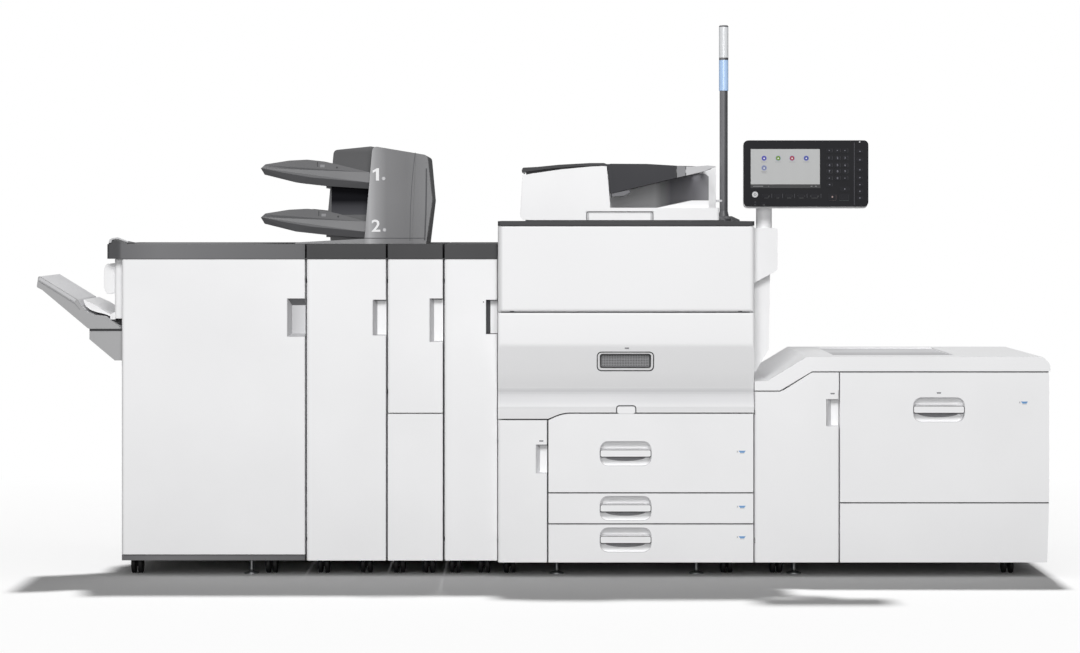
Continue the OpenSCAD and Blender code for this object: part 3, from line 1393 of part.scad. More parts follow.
module feeder_cabinet() {
    outline = concat([[feeder_x, floor_z], [feeder_x1 - feeder_right_taper, floor_z],
        [feeder_x1 - small_r, feeder_seam_z]], feeder_line(0));
    bay_x1 = feeder_x1 - feeder_right_taper - sheet_t;
    bay_x = feeder_drawer_x + sheet_t;
    color("#dfe1e3") difference() {
        union() {
            along_y(feeder_frame_y, feeder_back_y) polygon(outline);
            for (x = [feeder_x, feeder_x1 - feeder_right_taper - skin_t])
                block(x, x + skin_t, feeder_frame_y, feeder_back_y, base_z, floor_z + cut);
            along_y(drawer_y, feeder_frame_y + cut)
                polygon([[feeder_drawer_x, base_z], [feeder_x1 - feeder_right_taper, base_z],
                    [feeder_x1 - small_r, feeder_panel_z - seam / 2],
                    [feeder_drawer_x, feeder_panel_z - seam / 2]]);
            for (z = [feeder_panel_z / 2, feeder_panel_z])
                rod_x(feeder_x - engine_gap, feeder_x + cut, dock_y, z, dock_r);
            foot_bosses(feeder_foot);
        }
        foot_bores(feeder_foot);
        difference() {
            block(bay_x, bay_x1, feeder_frame_y - cut, feeder_frame_y + feeder_bay_l,
                feeder_panel_z + cut, feeder_bay_z1);
            for (x = [bay_x - cut, bay_x1 - rail_w - tray_margin])
                block(x, x + rail_w + tray_margin + cut, feeder_frame_y - cut,
                    feeder_frame_y + feeder_bay_l + cut, feeder_tray_z - fit - rail_h,
                    feeder_tray_z - fit);
        }
        block(feeder_x + bay_inset, feeder_door_x1 - bay_inset, feeder_frame_y - cut,
            feeder_frame_y + bay_depth, floor_z + bay_inset, feeder_low_z - bay_inset);
    }
    color("#dfe1e3") {
        door_lugs(feeder_x, drawer_y, base_z, feeder_low_z, feeder_frame_y);
        for (z = [feeder_panel_z, feeder_panel_z + handle_w])
            block(feeder_x + bay_inset - cut, feeder_door_x1 - bay_inset + cut,
                feeder_frame_y + sheet_t, feeder_frame_y + bay_depth + cut, z, z + sheet_t);
    }
}

// Top cover with its sloped left shoulder and a shallow tray pocket
module feeder_top() {
    pocket_t = 5;
    pocket_x = feeder_x + 258;
    pocket_w = 383;
    color("#ebedef") difference() {
        along_y(drawer_y, feeder_back_y)
            polygon(rounded(concat([[feeder_x, feeder_low_z + seam / 2 + 28]],
                [[feeder_x, feeder_low_z + seam / 2], [feeder_low_x, feeder_low_z + seam / 2],
                    [feeder_rise_x, feeder_seam_z + seam / 2], [feeder_x1, feeder_seam_z + seam / 2]],
                [[feeder_x1, feeder_h - 3 * cover_r], [feeder_x1 - 22, feeder_h],
                    [feeder_x + 164, feeder_h], [feeder_x + 40, feeder_low_z + seam / 2 + 30]]),
                [0, 0, 0, 0, 0, cover_r, wide_r, wide_r, wide_r]));
        block(pocket_x, pocket_x + pocket_w, drawer_y + 2 * bay_margin, feeder_back_y - bay_margin,
            feeder_h - pocket_t, feeder_h + cut);
    }
    color("#ebedef") along_y(feeder_frame_y + cut, feeder_back_y - cut)
        polygon([[feeder_rise_x + skin_t, feeder_seam_z], [feeder_x1 - wide_r, feeder_seam_z],
            [feeder_x1 - wide_r, feeder_seam_z + seam], [feeder_rise_x + skin_t,
                feeder_seam_z + seam]]);
}

module feeder_door() {
    gap = seam / 2;
    outline = concat([[feeder_x, base_z], [feeder_door_x1, base_z],
        [feeder_door_x1, feeder_seam_z - gap]], feeder_line(-gap));
    color("#f1f2f4") side_door(outline, feeder_x, feeder_door_x1, drawer_y, base_z,
        feeder_low_z, [feeder_low_z - 110, feeder_low_z - 25, 39]);
}

module feeder_drawer_front() {
    x1 = feeder_x1 - small_r;
    z0 = feeder_panel_z + seam / 2;
    z1 = feeder_seam_z - seam / 2;
    color("#f2f3f5") drawer_front(rect(feeder_drawer_x, x1, z0, z1), feeder_drawer_x, x1,
        feeder_handle_x, feeder_handle_z, z0, z1);
}
module feeder_drawer_tray() {
    margin = sheet_t + tray_margin;
    paper_tray(feeder_drawer_x + margin, feeder_x1 - feeder_right_taper - margin, tray_y,
        tray_y + feeder_bay_l - margin, feeder_tray_z, feeder_tray_z1);
}
module feeder_handle() { handle_bar(feeder_handle_x, drawer_y, feeder_handle_z); }

module drawer_1_front() { engine_drawer_front(0); }
module drawer_2_front() { engine_drawer_front(1); }
module drawer_3_front() { engine_drawer_front(2); }
module drawer_1_tray() { engine_tray(0); }
module drawer_2_tray() { engine_tray(1); }
module drawer_3_tray() { engine_tray(2); }
module drawer_1_handle() { engine_handle(0); }
module drawer_2_handle() { engine_handle(1); }
module drawer_3_handle() { engine_handle(2); }

engine_frame();
engine_covers();
power_inlet();
deck_cover();
platen_glass();
inner_panel();
toner_bottles();
toner_cover();
front_door();
front_door_grip();
waste_door();
drawer_1_front();
drawer_2_front();
drawer_3_front();
drawer_1_tray();
drawer_2_tray();
drawer_3_tray();
drawer_1_handle();
drawer_2_handle();
drawer_3_handle();
adf_body();
adf_feed_cover();
adf_tray();
adf_guide_front();
adf_guide_rear();
signal_pole();
lamp_lower();
lamp_upper();
panel_mount();
panel_arm();
panel_case();
panel_back();
panel_screen();
panel_keys();
home_key();
levelling_feet();
caster_forks();
front_wheels();
rear_wheels();
finisher_cabinet();
finisher_door();
shift_tray();
tray_carriage();
exit_guide();
module_trims();
folder_cabinet();
folder_door();
inserter_cabinet();
inserter_door();
relay_cabinet();
relay_door();
interposer_body();
interposer_cover();
interposer_trays();
feeder_cabinet();
feeder_top();
feeder_door();
feeder_drawer_front();
feeder_drawer_tray();
feeder_handle();
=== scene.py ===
# %% [markdown]
# # A digital production printing line
# The printing line stands on the floor as one long row: a finisher with an output tray, a folding
# unit, a cover inserter with two sheet trays on top, a relay unit, the main engine with its document
# feeder, and a large paper feeder. The solids come from the imported CAD frame. This lesson gives every
# solid its finish and adds the small pieces that make the line look real.

# %% Load the fixed frame
import json
import math

import bmesh
import bpy
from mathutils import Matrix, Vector


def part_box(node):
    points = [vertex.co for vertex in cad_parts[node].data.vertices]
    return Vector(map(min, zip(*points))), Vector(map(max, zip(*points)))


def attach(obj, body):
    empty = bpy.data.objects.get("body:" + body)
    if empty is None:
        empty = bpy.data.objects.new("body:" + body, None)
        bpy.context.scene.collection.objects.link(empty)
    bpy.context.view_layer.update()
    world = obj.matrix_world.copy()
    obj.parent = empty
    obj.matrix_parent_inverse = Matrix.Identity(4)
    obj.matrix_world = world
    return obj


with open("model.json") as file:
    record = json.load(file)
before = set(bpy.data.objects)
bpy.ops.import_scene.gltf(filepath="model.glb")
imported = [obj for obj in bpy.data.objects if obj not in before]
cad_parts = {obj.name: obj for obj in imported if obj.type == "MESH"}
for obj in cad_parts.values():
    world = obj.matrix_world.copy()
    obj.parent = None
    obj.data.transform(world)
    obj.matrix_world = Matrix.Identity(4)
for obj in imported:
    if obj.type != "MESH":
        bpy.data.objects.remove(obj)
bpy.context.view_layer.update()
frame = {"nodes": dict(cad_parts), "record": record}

# %% [markdown]
# ## Camera
# The photograph was taken dead front with a long lens at chest height, and the line stands low in the
# picture. A level camera with a vertical shift keeps every upright edge upright, as a shift lens does.

# %% Level camera with a shift
CAMERA_PLACE = (-0.0065, -9.44, 1.12)
LENS_MM = 96.3
SENSOR_MM = 36.0
SHIFT_DOWN = -0.1005
camera_data = bpy.data.cameras.new("front_camera")
camera_data.lens = LENS_MM
camera_data.sensor_width = SENSOR_MM
camera_data.shift_y = SHIFT_DOWN
camera_data.clip_end = 60.0
camera = bpy.data.objects.new("front_camera", camera_data)
camera.location = CAMERA_PLACE
camera.rotation_euler = (math.radians(90), 0, 0)
bpy.context.scene.collection.objects.link(camera)
bpy.context.scene.camera = camera
bpy.context.scene.view_settings.view_transform = "Standard"
print("camera:", CAMERA_PLACE, "lens", LENS_MM)

# %% [markdown]
# ## Colours and nodes
# A finish is written as the hex colour that a screen shows. Blender mixes light in linear values, so
# one function turns hex into linear. A second small function adds a node, sets it and links it.

# %% Two helpers for every finish
def linear(code):
    """Turns an sRGB hex colour such as #f2f2f3 into the linear colour that a shader takes."""
    values = []
    for start in (1, 3, 5):
        level = int(code[start:start + 2], 16) / 255
        values.append(level / 12.92 if level <= 0.04045 else ((level + 0.055) / 1.055) ** 2.4)
    return (*values, 1.0)


def add_node(tree, kind, inputs=None, links=None, **settings):
    """Adds one node, fills its inputs, and links other nodes' outputs to them."""
    node = tree.nodes.new(kind)
    for name, value in settings.items():
        setattr(node, name, value)
    for socket, value in (inputs or {}).items():
        node.inputs[socket].default_value = value
    for socket, source in (links or {}).items():
        tree.links.new(source, node.inputs[socket])
    return node


def empty_material(name):
    """Makes a material with nothing but its output."""
    material = bpy.data.materials.new(name)
    material.use_nodes = True
    material.node_tree.nodes.clear()
    return material, material.node_tree


print("white cover in linear light:", [round(v, 3) for v in linear("#f2f2f3")])

# %% [markdown]
# ## Studio
# The line stands on a plain pale floor in front of white. The world is white for the camera and for
# what is seen through glass, and dim for the light and the reflections that reach the object. The
# floor paper is pale for the camera and grey for the light that it throws back up. Towards the rear it
# turns to plain white for the camera, so that it runs into the white behind it and still shows the
# shadow in front.

# %% White world
world = bpy.data.worlds.new("studio")
bpy.context.scene.world = world
world.use_nodes = True
tree = world.node_tree
tree.nodes.clear()
WORLD_LEVEL = 0.24
WHITE = (1, 1, 1, 1)
path = add_node(tree, "ShaderNodeLightPath")
seen = add_node(tree, "ShaderNodeMath", operation="MAXIMUM",
                links={0: path.outputs["Is Camera Ray"], 1: path.outputs["Is Transmission Ray"]})
dim = add_node(tree, "ShaderNodeBackground", inputs={"Color": WHITE, "Strength": WORLD_LEVEL})
white = add_node(tree, "ShaderNodeBackground", inputs={"Color": WHITE, "Strength": 1.0})
mixed = add_node(tree, "ShaderNodeMixShader",
                 links={0: seen.outputs[0], 1: dim.outputs[0], 2: white.outputs[0]})
add_node(tree, "ShaderNodeOutputWorld", links={"Surface": mixed.outputs[0]})
print("world level:", WORLD_LEVEL)

# %% Pale floor
FLOOR_HALF = 14.0
FADE_START = 0.4
FADE_END = 3.0
floor_material, tree = empty_material("studio_floor_paper")
path = add_node(tree, "ShaderNodeLightPath")
place = add_node(tree, "ShaderNodeTexCoord")
apart = add_node(tree, "ShaderNodeSeparateXYZ", links={"Vector": place.outputs["Object"]})
behind = add_node(tree, "ShaderNodeMapRange",
                  inputs={"From Min": FADE_START, "From Max": FADE_END, "To Max": 1.0},
                  links={"Value": apart.outputs["Y"]})
seen = add_node(tree, "ShaderNodeMath", operation="MULTIPLY",
                links={0: path.outputs["Is Camera Ray"], 1: behind.outputs["Result"]})
paper = add_node(tree, "ShaderNodeBsdfDiffuse", inputs={"Color": linear("#fbfbfb"), "Roughness": 1.0})
bounce = add_node(tree, "ShaderNodeBsdfDiffuse", inputs={"Color": linear("#565656"), "Roughness": 1.0})
glow = add_node(tree, "ShaderNodeEmission", inputs={"Color": WHITE, "Strength": 1.0})
lit = add_node(tree, "ShaderNodeMixShader",
               links={0: path.outputs["Is Camera Ray"], 1: bounce.outputs[0], 2: paper.outputs[0]})
shown = add_node(tree, "ShaderNodeMixShader",
                 links={0: seen.outputs[0], 1: lit.outputs[0], 2: glow.outputs[0]})
add_node(tree, "ShaderNodeOutputMaterial", links={"Surface": shown.outputs[0]})
floor_mesh = bpy.data.meshes.new("floor")
floor_mesh.from_pydata([(-FLOOR_HALF, -FLOOR_HALF, 0), (FLOOR_HALF, -FLOOR_HALF, 0),
                        (FLOOR_HALF, FLOOR_HALF, 0), (-FLOOR_HALF, FLOOR_HALF, 0)], [], [(0, 1, 2, 3)])
floor_mesh.materials.append(floor_material)
floor = bpy.data.objects.new("floor", floor_mesh)
bpy.context.scene.collection.objects.link(floor)
print("floor:", 2 * FLOOR_HALF, "m wide")

# %% Soft lamps
def soft_lamp(name, place, target, width, height, watts):
    """Adds a rectangular softbox at place, turned to target."""
    data = bpy.data.lights.new(name, "AREA")
    data.shape = "RECTANGLE"
    data.size = width
    data.size_y = height
    data.energy = watts
    lamp = bpy.data.objects.new(name, data)
    lamp.location = place
    lamp.rotation_euler = (Vector(target) - Vector(place)).to_track_quat("-Z", "Y").to_euler()
    bpy.context.scene.collection.objects.link(lamp)
    return lamp


soft_lamps = [
    soft_lamp("front_softbox", (-0.6, -8.6, 6.6), (0.0, 0.0, 0.5), width=6.0, height=3.0, watts=690),
    soft_lamp("camera_side_fill", (0.0, -10.6, 1.9), (0.0, 0.0, 0.8), width=7.0, height=2.0, watts=270),
    soft_lamp("overhead_softbox", (0.0, 1.6, 4.6), (0.0, -0.3, 0.0), width=6.0, height=2.5, watts=110),
]
print("soft lamps:", len(soft_lamps))

# %% Floor lamp
# A high distant lamp behind the line lights the floor and leaves the shadow in front of the line.
FLOOR_LIGHT_LEVEL = 5.4
FLOOR_LIGHT_SPREAD = 4
FLOOR_LIGHT_WAY = (0, -0.48, -1)
floor_light = bpy.data.lights.new("floor_lamp", "SUN")
floor_light.energy = FLOOR_LIGHT_LEVEL
floor_light.angle = math.radians(FLOOR_LIGHT_SPREAD)
floor_lamp = bpy.data.objects.new("floor_lamp", floor_light)
floor_lamp.rotation_euler = Vector(FLOOR_LIGHT_WAY).to_track_quat("-Z", "Y").to_euler()
bpy.context.scene.collection.objects.link(floor_lamp)

# The soft lamps skip the floor, and the floor lamp lights nothing else, so the shadow stays deep.
for lamp in (*soft_lamps, floor_lamp):
    linked = bpy.data.collections.new(lamp.name + "_reach")
    linked.objects.link(floor)
    linked.collection_objects[0].light_linking.link_state = "INCLUDE" if lamp == floor_lamp else "EXCLUDE"
    lamp.light_linking.receiver_collection = linked
print("floor lamp level:", FLOOR_LIGHT_LEVEL)

# %% [markdown]
# ## Moulded plastic covers
# The outer covers of an office machine are injection-moulded ABS. The steel mould is etched, so the
# surface has a fine matt grain that breaks up reflections. Real grain is about 0.3 mm, too fine for
# this distance, so it is drawn at a few millimetres. A slow second noise changes tone and gloss a
# little, because no large moulding is quite even.

# %% Moulded ABS
ABS_IOR = 1.54
GRAIN_DEPTH_M = 0.0004
GLOSS_SWING = 0.05
DRIFT_SHARE = 0.88


def moulded_plastic(name, colour, shade, roughness=0.5, grain_mm=3.0, bump=0.06, patch_mm=420.0,
                    drift=None, shine=0.5):
    """Etched moulded plastic: slow tone patches, gloss patches and a fine grain.

    drift gives an axis letter and pairs of a place in mm and a hex colour. It runs one moulding from one
    tone to another along that axis; this script uses it mostly to paint light and shade, as a curved cover
    darkens where it turns from the light.
    """
    material, tree = empty_material(name)
    place = add_node(tree, "ShaderNodeTexCoord")
    slow = add_node(tree, "ShaderNodeTexNoise", inputs={"Scale": 1000 / patch_mm, "Detail": 3.0},
                    links={"Vector": place.outputs["Object"]})
    tone = add_node(tree, "ShaderNodeValToRGB", links={"Fac": slow.outputs["Fac"]})
    tone.color_ramp.elements[0].position = 0.30
    tone.color_ramp.elements[0].color = linear(shade)
    tone.color_ramp.elements[1].position = 0.70
    tone.color_ramp.elements[1].color = linear(colour)
    tint = tone.outputs["Color"]
    if drift:
        axis, stops = drift
        apart = add_node(tree, "ShaderNodeSeparateXYZ", links={"Vector": place.outputs["Object"]})
        along = add_node(tree, "ShaderNodeMapRange",
                         inputs={"From Min": stops[0][0] / 1000, "From Max": stops[-1][0] / 1000},
                         links={"Value": apart.outputs[axis]})
        run = add_node(tree, "ShaderNodeValToRGB", links={"Fac": along.outputs["Result"]})
        ramp = run.color_ramp.elements
        for number, (spot, code) in enumerate(stops):
            share = (spot - stops[0][0]) / (stops[-1][0] - stops[0][0])
            stop = ramp[number] if number < 2 else ramp.new(share)
            stop.position = share
            stop.color = linear(code)
        blend = add_node(tree, "ShaderNodeMix", data_type="RGBA", inputs={"Factor": DRIFT_SHARE},
                         links={6: tint, 7: run.outputs["Color"]})
        tint = blend.outputs[2]
    gloss = add_node(tree, "ShaderNodeMapRange",
                     inputs={"From Min": 0.3, "From Max": 0.7, "To Min": roughness + GLOSS_SWING,
                             "To Max": roughness - GLOSS_SWING},
                     links={"Value": slow.outputs["Fac"]})
    grain = add_node(tree, "ShaderNodeTexNoise", inputs={"Scale": 1000 / grain_mm, "Detail": 2.0},
                     links={"Vector": place.outputs["Object"]})
    relief = add_node(tree, "ShaderNodeBump", inputs={"Strength": bump, "Distance": GRAIN_DEPTH_M},
                      links={"Height": grain.outputs["Fac"]})
    surface = add_node(tree, "ShaderNodeBsdfPrincipled",
                       inputs={"IOR": ABS_IOR, "Specular IOR Level": shine},
                       links={"Base Color": tint, "Roughness": gloss.outputs["Result"],
                              "Normal": relief.outputs["Normal"]})
    add_node(tree, "ShaderNodeOutputMaterial", links={"Surface": surface.outputs[0]})
    return material


print("height of the grain:", 1000 * GRAIN_DEPTH_M, "mm")

# %% Moulded finishes
finishes = {
    "white_cover": moulded_plastic("white_abs_moulded", "#f3f3f4", "#eeeeef"),
    "side_cover": moulded_plastic("side_abs_moulded", "#f0f0f1", "#ebebec"),
    "light_grey_plastic": moulded_plastic("light_grey_abs_moulded", "#a9a9aa", "#a2a2a3"),
    "tray_grey": moulded_plastic("tray_hips_moulded", "#57585b", "#515255", roughness=0.6),
    "inner_grey": moulded_plastic("inner_panel_hips_moulded", "#b9bcbf", "#b2b5b8"),
    # The dark band at the finisher cap's left end is painted shade where the cap turns its corner; the other
    # steps change the tone from cap to cap.
    "dark_cap": moulded_plastic("charcoal_abs_with_painted_end_shade", "#343436", "#303032", roughness=0.55,
                                drift=("X", [(-1365, "#3e3e40"), (-1326, "#3a3a3c"), (-1318, "#68686a"),
                                             (-1200, "#767678"), (-745, "#606062"), (-735, "#29292b"),
                                             (-300, "#333335"), (700, "#2d2d2f")])),
    "panel_black": moulded_plastic("panel_pc_moulded", "#1a1a1e", "#16161a", roughness=0.6, shine=0.2),
    "panel_key": moulded_plastic("keypad_silicone_moulded", "#17171d", "#131319", roughness=0.6, shine=0.25),
    "silver_key": moulded_plastic("silver_lacquered_key", "#c4c5c6", "#bcbdbe", roughness=0.3),
    "caster_black": moulded_plastic("caster_nylon_moulded", "#1c1c1e", "#161618"),
    "wheel_tread": moulded_plastic("wheel_polyurethane_cast", "#18181a", "#121214", roughness=0.65),
    "toner_plastic": moulded_plastic("toner_bottle_hdpe_blown", "#2b2e36", "#25282f", roughness=0.4),
}
print("moulded finishes:", len(finishes))

# %% [markdown]
# ## Painted sheet steel
# The cabinets behind the doors are folded sheet steel with baked powder paint. Powder flows as it
# melts and leaves a shallow ripple known as orange peel, about 4 mm from crest to crest.

# %% Powder-painted steel
PAINT_IOR = 1.5
RIPPLE_DEPTH_M = 0.0005
PAINTED_SHADE_TOP_M = 0.25


def painted_steel(name, colour, shade, roughness=0.4, ripple_mm=4.0):
    """Baked powder paint: even colour, shallow orange peel, and painted shade that darkens it towards the
    floor.
    """
    material, tree = empty_material(name)
    place = add_node(tree, "ShaderNodeTexCoord")
    apart = add_node(tree, "ShaderNodeSeparateXYZ", links={"Vector": place.outputs["Object"]})
    # The tone ramp is painted shade: the steel turns darker towards the floor, where less light reaches it.
    low = add_node(tree, "ShaderNodeMapRange", inputs={"From Min": 0.0, "From Max": PAINTED_SHADE_TOP_M},
                   links={"Value": apart.outputs["Z"]})
    tone = add_node(tree, "ShaderNodeValToRGB", links={"Fac": low.outputs["Result"]})
    tone.color_ramp.elements[0].color = linear(shade)
    tone.color_ramp.elements[1].color = linear(colour)
    ripple = add_node(tree, "ShaderNodeTexNoise", inputs={"Scale": 1000 / ripple_mm, "Detail": 1.0},
                      links={"Vector": place.outputs["Object"]})
    relief = add_node(tree, "ShaderNodeBump", inputs={"Strength": 0.10, "Distance": RIPPLE_DEPTH_M},
                      links={"Height": ripple.outputs["Fac"]})
    surface = add_node(tree, "ShaderNodeBsdfPrincipled", inputs={"IOR": PAINT_IOR, "Roughness": roughness},
                       links={"Base Color": tone.outputs["Color"], "Normal": relief.outputs["Normal"]})
    add_node(tree, "ShaderNodeOutputMaterial", links={"Surface": surface.outputs[0]})
    return material


finishes["cabinet_steel"] = painted_steel("white_powder_painted_steel", "#ececed", "#dfdfe0")
finishes["frame_steel"] = painted_steel("grey_powder_painted_steel", "#8d9093", "#7c7f82")
print("painted finishes: 2")

# %% [markdown]
# ## Zinc, glass and lamp lenses
# The levelling feet are turned steel with bright zinc. The exposure glass is plain float glass. The
# status lamps are tinted polycarbonate lenses over a white reflector, so they look milky, with fine
# upright flutes inside that spread the light.

# %% Turned steel
RING_SCALE = 900.0
steel, tree = empty_material("zinc_plated_turned_steel")
place = add_node(tree, "ShaderNodeTexCoord")
rings = add_node(tree, "ShaderNodeTexNoise", inputs={"Scale": RING_SCALE, "Detail": 2.0},
                 links={"Vector": place.outputs["Object"]})
spread = add_node(tree, "ShaderNodeMapRange", inputs={"To Min": 0.28, "To Max": 0.42},
                  links={"Value": rings.outputs["Fac"]})
surface = add_node(tree, "ShaderNodeBsdfPrincipled",
                   inputs={"Base Color": linear("#b9bbbd"), "Metallic": 1.0},
                   links={"Roughness": spread.outputs["Result"]})
add_node(tree, "ShaderNodeOutputMaterial", links={"Surface": surface.outputs[0]})
finishes["foot_steel"] = steel
print("turning marks about", round(1000 / RING_SCALE, 1), "mm apart")

# %% Glass and lenses
CLEAR_IOR = 1.5
WAVE_SCALE = 1000 / 6.283


def tinted_lens(name, colour, shade, flute_mm, roughness, glow):
    """A tinted clear plastic or glass sheet with a faint pattern inside it.

    A wave texture at WAVE_SCALE repeats every 2 mm: one light and one dark flute, 1 mm each.
    """
    material, tree = empty_material(name)
    place = add_node(tree, "ShaderNodeTexCoord")
    wave = add_node(tree, "ShaderNodeTexWave", wave_type="BANDS", bands_direction="X",
                    inputs={"Scale": WAVE_SCALE / flute_mm, "Distortion": 0.0},
                    links={"Vector": place.outputs["Object"]})
    tone = add_node(tree, "ShaderNodeValToRGB", links={"Fac": wave.outputs["Fac"]})
    tone.color_ramp.elements[0].color = linear(shade)
    tone.color_ramp.elements[1].color = linear(colour)
    surface = add_node(tree, "ShaderNodeBsdfPrincipled",
                       inputs={"IOR": CLEAR_IOR, "Roughness": roughness, "Emission Strength": glow},
                       links={"Base Color": tone.outputs["Color"],
                              "Emission Color": tone.outputs["Color"]})
    add_node(tree, "ShaderNodeOutputMaterial", links={"Surface": surface.outputs[0]})
    return material


finishes["blue_lamp"] = tinted_lens("blue_polycarbonate_lens", "#bcd6f6", "#a9c8f0", 2.5, 0.12, 0.05)
finishes["clear_lamp"] = tinted_lens("clear_polycarbonate_lens", "#e6e8ea", "#d8dadd", 2.5, 0.1, 0.02)
finishes["exposure_glass"] = tinted_lens("float_glass", "#c2d3d2", "#bccdcc", 40.0, 0.03, 0.0)
finishes["screen_glass"] = tinted_lens("screen_under_glass", "#a8a9a9", "#a7a8a8", 20.0, 0.3, 0.02)
print("all finishes:", len(finishes))

# %% [markdown]
# ## A finish on every solid
# The record says which slot each solid takes, so one loop dresses the whole frame. The meshes stay as
# they are, and only their material slots are filled.

# %% Mouldings with a tone of their own, some with painted light and shade
own_finishes = {
    # The inserter cover's drift paints a highlight near its left edge and shade across the middle towards
    # its curved right shell.
    "interposer_cover": moulded_plastic(
        "inserter_cover_painted_shade", "#7b7b7d", "#757577", roughness=0.4,
        drift=("X", [(-567, "#7c7c7e"), (-548, "#a6a6a8"), (-528, "#88888a"), (-495, "#666668"),
                     (-430, "#5c5c5e"), (-405, "#626264"), (-365, "#6c6c6e")])),
    # The housing's drift is painted shade: darker towards the top, under the tray above.
    "interposer_body": moulded_plastic(
        "inserter_housing_painted_shade", "#4a4a4c", "#444446", roughness=0.55,
        drift=("Z", [(1040, "#5c5c5e"), (1140, "#545456"), (1330, "#404042"), (1345, "#525254")])),
    "interposer_trays": moulded_plastic("inserter_tray_abs_moulded", "#5c5c5e", "#565658",
                                        roughness=0.5),
    "adf_feed_cover": moulded_plastic("feed_cover_abs_moulded", "#48484a", "#424244", roughness=0.6,
                                      shine=0.2),
    "adf_tray": moulded_plastic("original_tray_abs_moulded", "#37373b", "#333337", roughness=0.6, shine=0.3),
    "adf_guide_front": moulded_plastic("original_guide_abs_moulded", "#4e4e52", "#48484c"),
    "adf_guide_rear": moulded_plastic("rear_guide_abs_moulded", "#4e4e52", "#48484c"),
    "front_door_grip": moulded_plastic("grip_abs_moulded", "#4f4f51", "#49494b", roughness=0.6),
    "exit_guide": moulded_plastic("exit_guide_abs_moulded", "#efeff0", "#e9e9ea"),
    # The output tray's drift paints light on its top, which is lighter than its front edge where light falls
    # on it.
    "shift_tray": moulded_plastic("output_tray_painted_light", "#a9a9aa", "#a2a2a3",
                                  drift=("Y", [(-362, "#a5a5a6"), (-358, "#a5a5a6"), (-350, "#dfdfe1"),
                                               (18, "#d9d9db")])),
    # The toner cover is darker at its left end: painted shade where its rounded edge turns from the light.
    "toner_cover": moulded_plastic("toner_cover_painted_edge_shade", "#f3f3f4", "#eeeeef",
                                   drift=("X", [(-138, "#d8d8d9"), (-127, "#d8d8d9"), (-122, "#efeff0"),
                                                (662, "#f0f0f1")])),
    # The front door's drift is painted shade: darker low on the face that leans back, lighter again on the
    # lip at its foot.
    "front_door": moulded_plastic("front_door_painted_shade", "#f3f3f4", "#eeeeef",
                                  drift=("Z", [(500, "#e2e2e3"), (520, "#e4e4e5"), (548, "#cfcfd1"),
                                               (580, "#c4c4c6"), (590, "#e6e6e7"), (640, "#eeeeef"),
                                               (824, "#f3f3f4")])),
    # The pole's drift paints light and shade across the round pole: lighter on the left, dark on the right.
    "signal_pole": moulded_plastic("pole_painted_light_and_shade", "#5c5c5e", "#565658", roughness=0.45,
                                   drift=("X", [(574, "#77777a"), (592, "#7e7e81"), (606, "#4a4a4d"),
                                                (652, "#39393c")])),
    # The panel arm is whiter than the other covers: painted light that lifts the shade the panel casts on
    # it.
    "panel_arm": moulded_plastic("panel_arm_painted_light", "#fcfcfd", "#f9f9fa"),
}
print("finishes of single mouldings:", len(own_finishes))

# %% Dress the frame
for part in frame["record"]["subparts"]:
    solid = frame["nodes"][part["node"]]
    finish = own_finishes.get(part["node"]) or finishes[part["material_slot"]]
    for number in range(max(1, len(solid.material_slots))):
        if number < len(solid.material_slots):
            solid.material_slots[number].material = finish
        else:
            solid.data.materials.append(finish)

# %% [markdown]
# ## Small pieces
# What makes a machine look real is small: printed marks, badges, ribs, seams, key legends. Each is a
# thin solid with real thickness that lies on the cover behind it and moves with it. Most are an
# outline in x and z given a front and a back, so a few mesh helpers make nearly all of them. A printed
# mark could be painted in a texture, but a thin solid stays sharp from close by.

# %% Where a picture point lies on an upright plane
PICTURE_WIDE = 1080
PICTURE_HIGH = 653
FOCAL_PX = LENS_MM / SENSOR_MM * PICTURE_WIDE
HORIZON_PX = PICTURE_HIGH / 2 + SHIFT_DOWN * PICTURE_WIDE
PANEL_CORNER_PX = (744.1, 140.2)


def at(px, py, depth):
    """Gives x and z in mm for a point of the picture, on the plane y = depth mm."""
    mm_per_px = (depth - 1000 * CAMERA_PLACE[1]) / FOCAL_PX
    return (1000 * CAMERA_PLACE[0] + (px - PICTURE_WIDE / 2) * mm_per_px,
            1000 * CAMERA_PLACE[2] - (py - HORIZON_PX) * mm_per_px)


def traced(points, depth):
    """Turns picture points into x and z in mm on one upright plane."""
    return [at(px, py, depth) for px, py in points]


def span(node):
    """The lowest and highest corner of a solid, in mm."""
    return [[1000 * value for value in corner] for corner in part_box(node)]


FACE = span("panel_case")[0][1]
print("panel corner at:", [round(value) for value in at(*PANEL_CORNER_PX, FACE)])

# %% Outlines
def oblong(x0, z0, x1, z1):
    """A rectangle as x and z points in mm."""
    return [(x0, z0), (x1, z0), (x1, z1), (x0, z1)]


def rounded(x0, z0, x1, z1, radius, steps=4):
    """A rectangle with round corners, as x and z points in mm."""
    points = []
    for x, z, start in ((x1 - radius, z1 - radius, 0), (x0 + radius, z1 - radius, 90),
                        (x0 + radius, z0 + radius, 180), (x1 - radius, z0 + radius, 270)):
        for step in range(steps + 1):
            turn = math.radians(start + 90 * step / steps)
            points.append((x + radius * math.cos(turn), z + radius * math.sin(turn)))
    return points


def disc(x, z, radius, steps=24):
    """A circle as x and z points in mm."""
    return [(x + radius * math.cos(math.tau * step / steps), z + radius * math.sin(math.tau * step / steps))
            for step in range(steps)]


